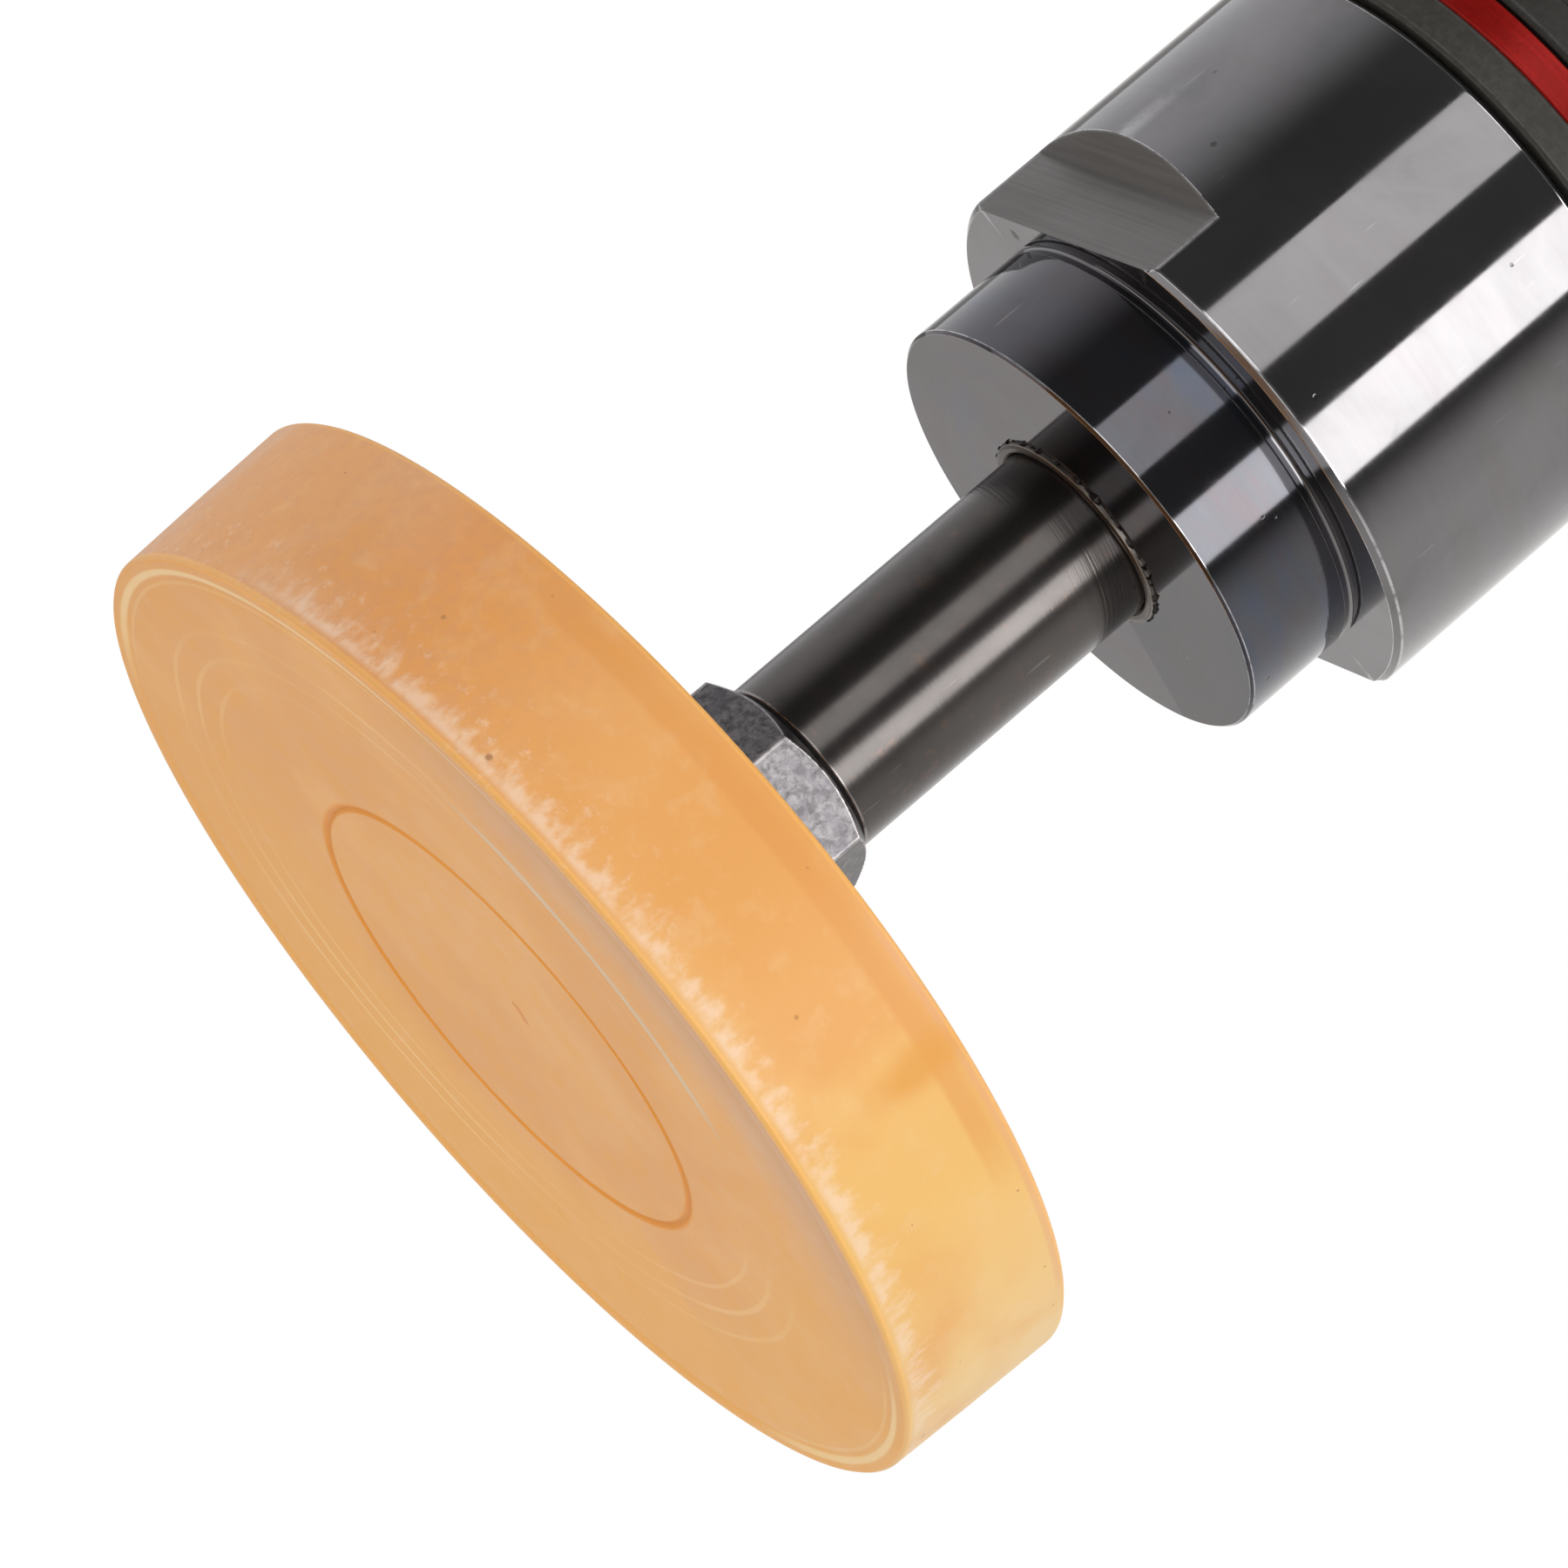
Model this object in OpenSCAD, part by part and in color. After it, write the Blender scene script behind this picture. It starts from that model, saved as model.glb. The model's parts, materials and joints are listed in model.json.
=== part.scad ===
// Straight compressed-air eraser tool: a moulded rubber wheel on a geared-down
// vane motor, for rubbing adhesive wheel weights and decals off wheels and paint.
// Stations are millimetres along the spindle axis from the wheel's front face.
// +X runs from the wheel to the air inlet, +Z is square to the upper spanner flat.

/* [Eraser wheel] */
// Radius of the wheel at its front face
wheel_r = 44; // [38:0.5:50]
// Radius of the wheel at its back face
wheel_back_r = 44.6; // [38:0.1:51]
// Thickness of the wheel
wheel_t = 15.5; // [14:0.5:16]
// Depth of the dish in the front face
wheel_dish = 0.7; // [0.2:0.1:1.2]
// Radius of the mould's groove in the front face
wheel_groove_r = 20; // [14:1:24]

/* [Arbor and spindle] */
// Hexagon across its flats
hex_af = 17; // [17:1:19]
// Station of the hexagon's rear face
hex_rear = 29.4; // [26:0.1:32]
// Radius of the turned shaft
shaft_r = 7.62; // [7.55:0.01:7.7]

/* [Gear housing] */
// Station of the nose's front face
nose_front = 59; // [56:0.1:60]
// Radius of the nose
nose_r = 19.2; // [18:0.1:20]
// Station of the housing's front face
housing_front = 69.6; // [66:0.1:72]
// Radius of the housing
housing_r = 24; // [23:0.1:24.5]
// Across the two spanner flats
flats_af = 41; // [38:0.5:46]
// Station where the flats end in a shoulder
flats_rear = 76.5; // [74:0.5:77]
// Station of the housing's rear face
housing_rear = 97.7; // [97:0.1:97.8]

/* [Trim rings and motor housing] */
// Outer radius of the rings and of the motor housing
body_r = 24.5; // [24:0.1:26]
// Width of the black ring
black_ring_w = 3.2; // [3:0.1:3.3]
// Width of the red ring
red_ring_w = 2.9; // [2.5:0.1:3]
// Station of the motor housing's front face
body_front = 104.6; // [104.5:0.1:105]

/* [Planetary gears] */
// Tooth module
gear_m = 0.7; // [0.68:0.01:0.7]
// Pressure angle
pressure_angle = 25; // [22:1:25]
// Face width of the gears
gear_w = 10; // [8:0.5:10]
// Backlash on each flank at the pitch circle
backlash = 0.05; // [0.03:0.01:0.08]

/* [Vane motor] */
// Radius of the rotor
rotor_r = 12.4; // [11.5:0.1:12.4]
// Offset of the cylinder's bore above the spindle axis
bore_offset = 1.5; // [1:0.1:1.6]
// Number of vanes
vane_count = 5; // [4:1:6]

/* [Handle and throttle] */
// Radius of the handle's tail
handle_r = 20.5; // [20.5:0.5:21]
// Outer radius of the rubber grip
grip_r = 21; // [20:0.5:23]
// Number of ribs round the grip
grip_ribs = 7; // [3:1:8]
// Width of the throttle lever
lever_w = 15; // [14:1:17]
// Travel of the throttle valve
valve_travel = 2; // [1.5:0.1:2]

/* [Air inlet] */
// Radius of the inlet thread at its crests
inlet_r = 5.72; // [5.72:0.01:6.6]
// Depth of the inlet thread
inlet_depth = 12; // [10:1:14]
// Inlet hexagon across its flats
inlet_hex_af = 22; // [19:1:24]

/* [Hidden] */

// Fits
run_gap = 0.05;      // running fit, on the radius
seat_gap = 0.02;     // seated or screwed fit, on the radius
side_gap = 0.3;      // between faces that move past each other
round_fn = 96;
small_fn = 48;

// The hand holds the tool here: the origin
grip_station = 190;

// Wheel insert and arbor
insert_flange_r = 18;
insert_front = 4.5;
insert_flange_t = 1.8;
insert_hub_r = 9.5;
front_stud_r = 4;
rear_stud_r = 5;
hex_front = wheel_t + 0.4;
hex_corner_r = hex_af / 2 / cos(30);
hex_turn = 14;
front_stud_end = 7;
rear_stud_end = 42;

// Spindle bearings, 15 x 28 x 7
spindle_seat_r = 7.5;
bearing_bore_r = 7.5;
bearing_out_r = 14;
bearing_w = 7;
front_bearing = 62;
rear_bearing = 73;
bearing_ball_r = 2.1;
bearing_ball_count = 11;

// Rotor bearings, 10 x 19 x 5
rotor_journal_r = 5;
rotor_bearing_out_r = 9.5;
rotor_bearing_w = 5;
rotor_front_bearing = 99;
rotor_rear_bearing = 155.5;
rotor_ball_r = 1.4;
rotor_ball_count = 11;

// Gear train
sun_teeth = 12;
planet_teeth = 18;
ring_teeth = 48;
planet_count = 3;
centre_distance = gear_m * (sun_teeth + planet_teeth) / 2;
gear_front = 86.5;
gear_rear = gear_front + gear_w;
gear_bore_r = 19;
carrier_r = 15.2;
carrier_front = 82.6;
carrier_plate_rear = 98.4;
planet_pin_r = 2;
flank_steps = 4;
addendum = 0.95;
dedendum = 1.2;
ring_gear_front = 82.5;
ring_gear_rear = 98.7;
key_count = 3;
key_r = 1;
key_front = 86;
key_length = 10;

// Housing, its interior and screwed neck
shoulder_lean = 0.46;
neck_r = 21.4;
neck_rear = 111.5;
seal_r = 8.7;
seal_front = nose_front - 0.4;
nose_wall_rear = front_bearing;
circlip_station = 80.2;
circlip_t = 1.2;

// Motor
cylinder_r = 19.9;
cylinder_front = 114;
cylinder_rear = 152;
cylinder_bore_r = rotor_r + bore_offset + 0.1;
plate_step = 112;
rear_plate_rear = 161;
body_bore_r = 20;
body_rear = 166;
body_taper_front = 158;
rotor_front = cylinder_front + 0.15;
rotor_rear = cylinder_rear - 0.15;
vane_t = 1.9;
vane_root_r = 5.4;
dowel_r = 1.2;
dowel_at = 17.2;
dowel_angles = [245, 295];
exhaust_groove_w = 6;
exhaust_groove_r = 17.6;

// Handle
handle_neck_r = 20.4;
neck_groove = 163.5;
neck_groove_half = 0.7;
neck_cord_r = 0.65;
handle_shoulder = body_rear + 0.1;
grip_front = 171;
grip_rear = 203;
core_r = 17;
tail_front = 204;
tail_rear = 238;
plenum_r = 9;
air_r = 3.3;
air_z = 4.6;
exhaust_r = 2.2;
exhaust_at = 13.2;
exhaust_angles = [158, 180, 202];
inlet_port_angle = 40;

// Throttle valve
valve_station = 212.5;
valve_bore_r = 6.5;
valve_cap_r = 7.5;
valve_cap_top = -11.5;
valve_cap_face = -handle_r + 0.8;
valve_cap_groove = -handle_r + 4.6;
cap_cord_r = 0.7;
stem_r = 2;
stem_top = 26;
poppet_r = 5.2;
poppet_t = 2.4;
guide_top = handle_r + 0.8;
guide_bottom = 8.05;
guide_r = 4.5;
guide_groove = 14;
seat_z = -1.5;
seat_t = 2.6;
seat_hole_r = 3.6;
spring_wire_r = 0.45;
spring_r = 3.6;
spring_turns = 4;

// Lever and its pivot
pivot_station = 232;
pivot_z = 26.5;
lever_pin_r = 1.5;
lever_tip = 156;
lever_bend = 206;
lever_bend_z = 27.6;
lever_front_rise = 0.152;
lever_rear_rise = 0.034;
lever_sheet = 1.6;
lug_w = lever_w - 2 * lever_sheet - 2 * side_gap;
lug_r = 3.3;
cheek_r = 4.2;
lever_top_end = pivot_station - 8;

// Regulator
regulator_station = 226.5;
regulator_r = 3.5;
regulator_z = -5.5;
regulator_top = -1;
regulator_head_r = 5;
regulator_boss_r = 3.9;
regulator_shelf = -17.4;
regulator_groove = -12;
regulator_cord_r = 0.6;
clip_z = -20.3;
clip_t = 0.6;
passage_r = 2.6;
chamber_r = 7.6;
chamber_front = 231.5;

// Tail
deflector_front = tail_rear + 0.3;
deflector_rear = 248;
deflector_r = 20;
bushing_r = 11;
bushing_thread_r = 9;
inlet_seal_r = 10.5;
inlet_seal_t = 0.5;
bushing_flange_front = deflector_rear + 0.3;
screen_r = inlet_r - 0.35;
screen_pocket = 0.8;
bushing_hex_front = 251;
bushing_rear = 260;

// Places children with their axis on the spindle axis: local Z is +X, Y is +Z, X is +Y
module on_axis(station = 0) {
    translate([station - grip_station, 0, 0])
        rotate([90, 0, 90])
            children();
}

// A turned piece from an outline of [radius, station] points
module turned(outline) {
    on_axis()
        rotate_extrude($fn = round_fn)
            polygon(outline);
}

// A plain ring or bush
module ring(inner, outer, front, rear) {
    on_axis(front)
        difference() {
            cylinder(r = outer, h = rear - front, $fn = round_fn);
            translate([0, 0, -1])
                cylinder(r = inner, h = rear - front + 2, $fn = round_fn);
        }
}

// An O-ring lying in a groove
module o_ring(centre_r, cord_r, station) {
    on_axis(station)
        rotate_extrude($fn = round_fn)
            translate([centre_r, 0])
                circle(r = cord_r, $fn = small_fn);
}

// Something standing upright (along Z) at a station
module upright(station, z) {
    translate([station - grip_station, 0, z])
        children();
}

// A side view extruded across the tool, evenly to both sides
module across(station, z, width) {
    translate([station - grip_station, width / 2, z])
        rotate([90, 0, 0])
            linear_extrude(width)
                children();
}

// ---- Gear teeth ----

function involute(a) = tan(a) * 180 / PI - a;

// Half of a tooth's angle at radius r, for a gear of z teeth
function half_tooth(r, z, slack) =
    let (pitch_r = gear_m * z / 2, base_r = pitch_r * cos(pressure_angle))
    90 / z + slack / pitch_r * 180 / PI + involute(pressure_angle)
        - involute(acos(min(1, base_r / max(r, base_r))));

function polar(r, a) = [r * cos(a), r * sin(a)];

// Outline of a gear of z teeth between two radii, tooth 0 centred at the angle turn
function gear_outline(z, low_r, high_r, slack, turn) = [
    for (i = [0 : z - 1])
        let (mid = turn + i * 360 / z)
        each concat(
            [for (k = [0 : flank_steps])
                let (r = low_r + (high_r - low_r) * k / flank_steps)
                polar(r, mid - half_tooth(r, z, slack))],
            [for (k = [flank_steps : -1 : 0])
                let (r = low_r + (high_r - low_r) * k / flank_steps)
                polar(r, mid + half_tooth(r, z, slack))])];

module spur_teeth(z, turn, front, rear) {
    pitch_r = gear_m * z / 2;
    on_axis(front)
        linear_extrude(rear - front)
            polygon(gear_outline(z, pitch_r - gear_m * dedendum, pitch_r + gear_m * addendum,
                -backlash, turn));
}

// ---- Bearings ----

module ball_ring(inner, outer, ball_r, mid_r, front, width) {
    on_axis(front)
        rotate_extrude($fn = round_fn)
            difference() {
                translate([inner, 0])
                    square([outer - inner, width]);
                translate([mid_r, width / 2])
                    circle(r = ball_r + 0.03, $fn = small_fn);
            }
}

module balls(count, ball_r, mid_r, front, width) {
    on_axis(front + width / 2)
        for (i = [0 : count - 1])
            rotate([0, 0, i * 360 / count])
                translate([mid_r, 0, 0])
                    sphere(r = ball_r, $fn = small_fn);
}

// ---- Spindle and what turns with it ----

module eraser_wheel() {
    groove_w = 0.5;
    groove_deep = 0.45;
    edge = 0.25;
    dish_at_groove = wheel_dish * 0.6;
    color([0.86, 0.62, 0.36])
        difference() {
            turned([
                [0, wheel_dish],
                [wheel_groove_r - groove_w / 2, dish_at_groove],
                [wheel_groove_r, dish_at_groove + groove_deep],
                [wheel_groove_r + groove_w / 2, dish_at_groove],
                [wheel_r - 6, 0.1],
                [wheel_r - edge, 0],
                [wheel_r, edge],
                [wheel_back_r, wheel_t - edge],
                [wheel_back_r - edge, wheel_t],
                [0, wheel_t]]);
            turned([
                [0, insert_front - seat_gap],
                [insert_flange_r + seat_gap, insert_front - seat_gap],
                [insert_flange_r + seat_gap, insert_front + insert_flange_t + seat_gap],
                [insert_hub_r + seat_gap, insert_front + insert_flange_t + seat_gap],
                [insert_hub_r + seat_gap, wheel_t + 1],
                [0, wheel_t + 1]]);
        }
}

// Steel bush with a flange, moulded into the wheel
module wheel_insert() {
    keying_holes = 6;
    keying_hole_r = 1.6;
    color("silver")
        difference() {
            turned([
                [0, insert_front],
                [insert_flange_r, insert_front],
                [insert_flange_r, insert_front + insert_flange_t],
                [insert_hub_r, insert_front + insert_flange_t],
                [insert_hub_r, hex_front],
                [0, hex_front]]);
            on_axis(front_stud_end - 1)
                cylinder(r = front_stud_r + seat_gap, h = hex_front, $fn = round_fn);
            for (i = [0 : keying_holes - 1])
                on_axis(insert_front - 1)
                    rotate([0, 0, i * 360 / keying_holes])
                        translate([(insert_flange_r + insert_hub_r) / 2, 0, 0])
                            cylinder(r = keying_hole_r, h = insert_flange_t + 2, $fn = small_fn);
        }
}

module wheel_arbor() {
    chamfer = (hex_corner_r - hex_af / 2) * tan(30) + 0.35;
    color([0.35, 0.34, 0.34])
        union() {
            intersection() {
                on_axis(hex_front)
                    rotate([0, 0, hex_turn])
                        cylinder(r = hex_corner_r, h = hex_rear - hex_front, $fn = 6);
                turned([
                    [0, hex_front],
                    [hex_af / 2 - 0.2, hex_front],
                    [hex_corner_r + 0.1, hex_front + chamfer],
                    [hex_corner_r + 0.1, hex_rear - chamfer],
                    [hex_af / 2 - 0.3, hex_rear],
                    [0, hex_rear]]);
            }
            on_axis(front_stud_end)
                cylinder(r = front_stud_r, h = hex_front - front_stud_end + 1, $fn = round_fn);
            on_axis(hex_rear - 1)
                cylinder(r = rear_stud_r, h = rear_stud_end - hex_rear + 1, $fn = round_fn);
        }
}

// The three keys lie half in the housing and half in the ring gear
module key_places() {
    for (i = [0 : key_count - 1])
        rotate([0, 0, (i + 0.5) * 360 / key_count])
            translate([gear_bore_r, 0, 0])
                children();
}

module planet_places() {
    for (i = [0 : planet_count - 1])
        rotate([0, 0, i * 360 / planet_count])
            translate([centre_distance, 0, 0])
                children();
}

// Output shaft with the planet carrier's front plate in one piece
module output_spindle() {
    step_rear = front_bearing - 0.2;
    edge = 0.4;
    color([0.2, 0.2, 0.2])
        difference() {
            turned([
                [0, hex_rear + 0.1],
                [shaft_r - edge, hex_rear + 0.1],
                [shaft_r, hex_rear + 0.1 + edge],
                [shaft_r, step_rear],
                [spindle_seat_r - seat_gap, step_rear],
                [spindle_seat_r - seat_gap, carrier_front],
                [carrier_r, carrier_front],
                [carrier_r, gear_front - side_gap],
                [0, gear_front - side_gap]]);
            on_axis(hex_rear - 1)
                cylinder(r = rear_stud_r + seat_gap, h = rear_stud_end - hex_rear + 2, $fn = round_fn);
            on_axis(carrier_front - 1)
                planet_places()
                    cylinder(r = planet_pin_r + seat_gap, h = 6, $fn = small_fn);
            ring(spindle_seat_r - 0.7, spindle_seat_r + 1, circlip_station, circlip_station + 1.1);
        }
}

// Rear plate of the carrier, held by the three planet pins
module carrier_plate() {
    sun_hole_r = 6.2;
    plate_front = gear_rear + side_gap;
    color([0.45, 0.45, 0.47])
        difference() {
            ring(sun_hole_r, carrier_r, plate_front, carrier_plate_rear);
            on_axis(plate_front - 1)
                planet_places()
                    cylinder(r = planet_pin_r + seat_gap, h = 6, $fn = small_fn);
        }
}

module planet_pins() {
    color("silver")
        on_axis(carrier_front + 0.2)
            planet_places()
                cylinder(r = planet_pin_r, h = carrier_plate_rear - carrier_front - 0.4, $fn = small_fn);
}

module spindle_bearing_inner_rings() {
    mid_r = (bearing_bore_r + bearing_out_r) / 2;
    color("silver")
        for (front = [front_bearing, rear_bearing])
            ball_ring(bearing_bore_r, mid_r - bearing_ball_r * 0.62, bearing_ball_r, mid_r, front, bearing_w);
}

module inner_spacer() {
    color("gray")
        ring(bearing_bore_r + seat_gap, bearing_bore_r + 1.6, front_bearing + bearing_w, rear_bearing);
}

// A snap ring with a gap, for a groove in a shaft or a bore
module snap_ring(inner, outer, station, thick, gap) {
    difference() {
        ring(inner, outer, station, station + thick);
        on_axis(station - 1)
            translate([-gap / 2, 0, 0])
                cube([gap, outer + 1, thick + 2]);
    }
}

module spindle_circlip() {
    color("dimgray")
        snap_ring(spindle_seat_r - 0.65, spindle_seat_r + 1.4, circlip_station + 0.05, 1, 5);
}

module planet_gear(index) {
    turn = 180 / planet_teeth;
    color("lightsteelblue")
        on_axis(gear_front)
            rotate([0, 0, index * 360 / planet_count])
                translate([centre_distance, 0, 0])
                    difference() {
                        linear_extrude(gear_w)
                            polygon(gear_outline(planet_teeth,
                                gear_m * (planet_teeth / 2 - dedendum),
                                gear_m * (planet_teeth / 2 + addendum), -backlash, turn));
                        translate([0, 0, -1])
                            cylinder(r = planet_pin_r + run_gap, h = gear_w + 2, $fn = small_fn);
                    }
}

module planet_gear_1() { planet_gear(0); }
module planet_gear_2() { planet_gear(1); }
module planet_gear_3() { planet_gear(2); }

// ---- Rotor ----

module rotor() {
    slot_w = vane_t + 0.1;
    rear_end = rotor_rear_bearing + rotor_bearing_w + 0.3;
    color([0.5, 0.5, 0.52])
        union() {
            spur_teeth(sun_teeth, 0, gear_front, rotor_front_bearing - 0.1);
            difference() {
                turned([
                    [0, rotor_front_bearing - 0.1],
                    [rotor_journal_r - seat_gap, rotor_front_bearing - 0.1],
                    [rotor_journal_r - seat_gap, rotor_front],
                    [rotor_r, rotor_front],
                    [rotor_r, rotor_rear],
                    [rotor_journal_r - seat_gap, rotor_rear],
                    [rotor_journal_r - seat_gap, rear_end],
                    [0, rear_end]]);
                on_axis(rotor_front - 0.01)
                    for (i = [0 : vane_count - 1])
                        rotate([0, 0, i * 360 / vane_count])
                            translate([vane_root_r - 0.1, -slot_w / 2, 0])
                                cube([rotor_r, slot_w, rotor_rear - rotor_front + 0.02]);
            }
        }
}

module vanes() {
    color([0.45, 0.25, 0.12])
        on_axis(rotor_front + 0.1)
            for (i = [0 : vane_count - 1])
                rotate([0, 0, i * 360 / vane_count])
                    translate([vane_root_r, -vane_t / 2, 0])
                        cube([rotor_r - vane_root_r - 0.1, vane_t, rotor_rear - rotor_front - 0.2]);
}

module rotor_bearing_inner_rings() {
    mid_r = (rotor_journal_r + rotor_bearing_out_r) / 2;
    color("silver")
        for (front = [rotor_front_bearing, rotor_rear_bearing])
            ball_ring(rotor_journal_r, mid_r - rotor_ball_r * 0.6, rotor_ball_r, mid_r, front, rotor_bearing_w);
}

// ---- Gear housing and what is held in it ----

module gear_housing() {
    edge = 0.5;
    nose_edge = 0.3;
    root_r = nose_r + 0.8;
    groove_w = 0.6;
    dimple_r = 0.6;
    dimple_at = 20.2;
    dimple_turn = 68;
    color([0.3, 0.3, 0.31])
        difference() {
            turned([
                [seal_r + seat_gap, nose_front],
                [nose_r - nose_edge, nose_front],
                [nose_r, nose_front + nose_edge],
                [nose_r, housing_front - groove_w - 0.8],
                [nose_r - 0.3, housing_front - groove_w - 0.5],
                [nose_r - 0.3, housing_front - 0.5],
                [root_r, housing_front],
                [housing_r - edge, housing_front],
                [housing_r, housing_front + edge],
                [housing_r, housing_rear - 0.4],
                [housing_r - 0.4, housing_rear],
                [neck_r, housing_rear],
                [neck_r, neck_rear],
                [gear_bore_r, neck_rear],
                [gear_bore_r, circlip_station + circlip_t + 1],
                [bearing_out_r + seat_gap, circlip_station + circlip_t + 1],
                [bearing_out_r + seat_gap, circlip_station + circlip_t + 0.1],
                [bearing_out_r + 0.9, circlip_station + circlip_t + 0.1],
                [bearing_out_r + 0.9, circlip_station],
                [bearing_out_r + seat_gap, circlip_station],
                [bearing_out_r + seat_gap, nose_wall_rear],
                [seal_r + seat_gap, nose_wall_rear]]);
            // Two spanner flats, each ending in a shoulder that leans back
            for (side = [0, 180])
                rotate([side, 0, 0])
                    across(grip_station, 0, 2 * housing_r)
                        polygon([
                            [housing_front - 1 - grip_station, flats_af / 2],
                            [flats_rear - grip_station, flats_af / 2],
                            [flats_rear + (housing_r - flats_af / 2 + 1) * shoulder_lean - grip_station,
                                housing_r + 1],
                            [housing_front - 1 - grip_station, housing_r + 1]]);
            on_axis(housing_front - dimple_r * 0.5)
                rotate([0, 0, dimple_turn])
                    translate([dimple_at, 0, 0])
                        sphere(r = dimple_r, $fn = small_fn);
            on_axis(key_front)
                key_places()
                    cylinder(r = key_r + seat_gap, h = neck_rear, $fn = small_fn);
        }
}

// Ring staked into the nose round the shaft, standing a little proud
module dust_seal() {
    color([0.25, 0.24, 0.23])
        turned([
            [shaft_r + run_gap, seal_front + 0.15],
            [shaft_r + run_gap + 0.2, seal_front],
            [seal_r - 0.25, seal_front],
            [seal_r, seal_front + 0.25],
            [seal_r, nose_wall_rear - 0.3],
            [shaft_r + run_gap, nose_wall_rear - 0.3]]);
}

module spindle_bearing_outer_rings() {
    mid_r = (bearing_bore_r + bearing_out_r) / 2;
    color("silver")
        for (front = [front_bearing, rear_bearing])
            ball_ring(mid_r + bearing_ball_r * 0.62, bearing_out_r, bearing_ball_r, mid_r, front, bearing_w);
}

module spindle_bearing_balls() {
    mid_r = (bearing_bore_r + bearing_out_r) / 2;
    color("white")
        for (front = [front_bearing, rear_bearing])
            balls(bearing_ball_count, bearing_ball_r, mid_r, front, bearing_w);
}

module outer_spacer() {
    color("gray")
        ring(bearing_out_r - 1.6, bearing_out_r, front_bearing + bearing_w, rear_bearing);
}

module housing_circlip() {
    color("dimgray")
        snap_ring(bearing_out_r - 1.4, bearing_out_r + 0.85, circlip_station + 0.05, circlip_t, 6);
}

module ring_gear() {
    pitch_r = gear_m * ring_teeth / 2;
    color("lightsteelblue")
        on_axis(ring_gear_front)
            difference() {
                cylinder(r = gear_bore_r - seat_gap, h = ring_gear_rear - ring_gear_front, $fn = round_fn);
                translate([0, 0, -1])
                    linear_extrude(ring_gear_rear - ring_gear_front + 2)
                        polygon(gear_outline(ring_teeth, pitch_r - gear_m * addendum,
                            pitch_r + gear_m * dedendum, backlash, 180 / ring_teeth));
                translate([0, 0, key_front - ring_gear_front])
                    key_places()
                        cylinder(r = key_r + seat_gap, h = 20, $fn = small_fn);
            }
}

// Three round keys that stop the ring gear turning in the housing
module ring_gear_keys() {
    color("silver")
        on_axis(key_front + 0.1)
            key_places()
                cylinder(r = key_r, h = key_length, $fn = small_fn);
}

module trim_ring(front, width, edge) {
    turned([
        [neck_r + seat_gap, front],
        [body_r - edge, front],
        [body_r, front + edge],
        [body_r, front + width - edge],
        [body_r - edge, front + width],
        [neck_r + seat_gap, front + width]]);
}

module black_ring() {
    color([0.2, 0.2, 0.2])
        trim_ring(housing_rear + 0.4, black_ring_w, 0.3);
}

module red_ring() {
    color([0.55, 0.09, 0.06])
        trim_ring(housing_rear + 0.4 + black_ring_w, red_ring_w, 0.15);
}

// ---- Motor ----

module motor_housing() {
    lock_flat = 10;
    color([0.2, 0.2, 0.2])
        difference() {
            turned([
                [neck_r + seat_gap, body_front],
                [body_r - 0.4, body_front],
                [body_r, body_front + 0.4],
                [body_r, body_taper_front],
                [body_r - 0.5, body_taper_front + 1.2],
                [body_r - 1.8, body_rear - 0.6],
                [body_r - 2.3, body_rear],
                [handle_neck_r + seat_gap, body_rear],
                [handle_neck_r + seat_gap, rear_plate_rear + 0.1],
                [body_bore_r, rear_plate_rear + 0.1],
                [body_bore_r, neck_rear + 0.3],
                [neck_r + seat_gap, neck_rear + 0.3]]);
            for (side = [-1, 1])
                on_axis(body_taper_front - lock_flat - 2)
                    translate([side > 0 ? body_r - 0.8 : -body_r - 4.2, -body_r, 0])
                        cube([5, 2 * body_r, lock_flat]);
        }
}

module front_end_plate() {
    color("silver")
        difference() {
            turned([
                [rotor_journal_r + 0.3, plate_step - 1],
                [rotor_journal_r + 0.3, rotor_front_bearing + rotor_bearing_w],
                [rotor_bearing_out_r + seat_gap, rotor_front_bearing + rotor_bearing_w],
                [rotor_bearing_out_r + seat_gap, rotor_front_bearing - 0.2],
                [gear_bore_r - seat_gap, rotor_front_bearing - 0.2],
                [gear_bore_r - seat_gap, plate_step],
                [cylinder_r, plate_step],
                [cylinder_r, cylinder_front],
                [rotor_journal_r + 0.3, cylinder_front]]);
            dowel_holes();
        }
}

// Two pins line up the end plates and the cylinder
module dowels(radius, front, rear) {
    on_axis(front)
        for (a = dowel_angles)
            rotate([0, 0, a])
                translate([dowel_at, 0, 0])
                    cylinder(r = radius, h = rear - front, $fn = small_fn);
}

module dowel_holes() {
    dowels(dowel_r + seat_gap, plate_step - 2, cylinder_rear + 3);
}

module dowel_pins() {
    color("silver")
        dowels(dowel_r, plate_step - 1.9, cylinder_rear + 2.9);
}

// Channel along the outside of the motor that takes the exhaust to the rear
module exhaust_groove(front, rear) {
    on_axis(front)
        translate([-cylinder_r - 1, -exhaust_groove_w / 2, 0])
            cube([cylinder_r + 1 - exhaust_groove_r, exhaust_groove_w, rear - front]);
}

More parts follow.
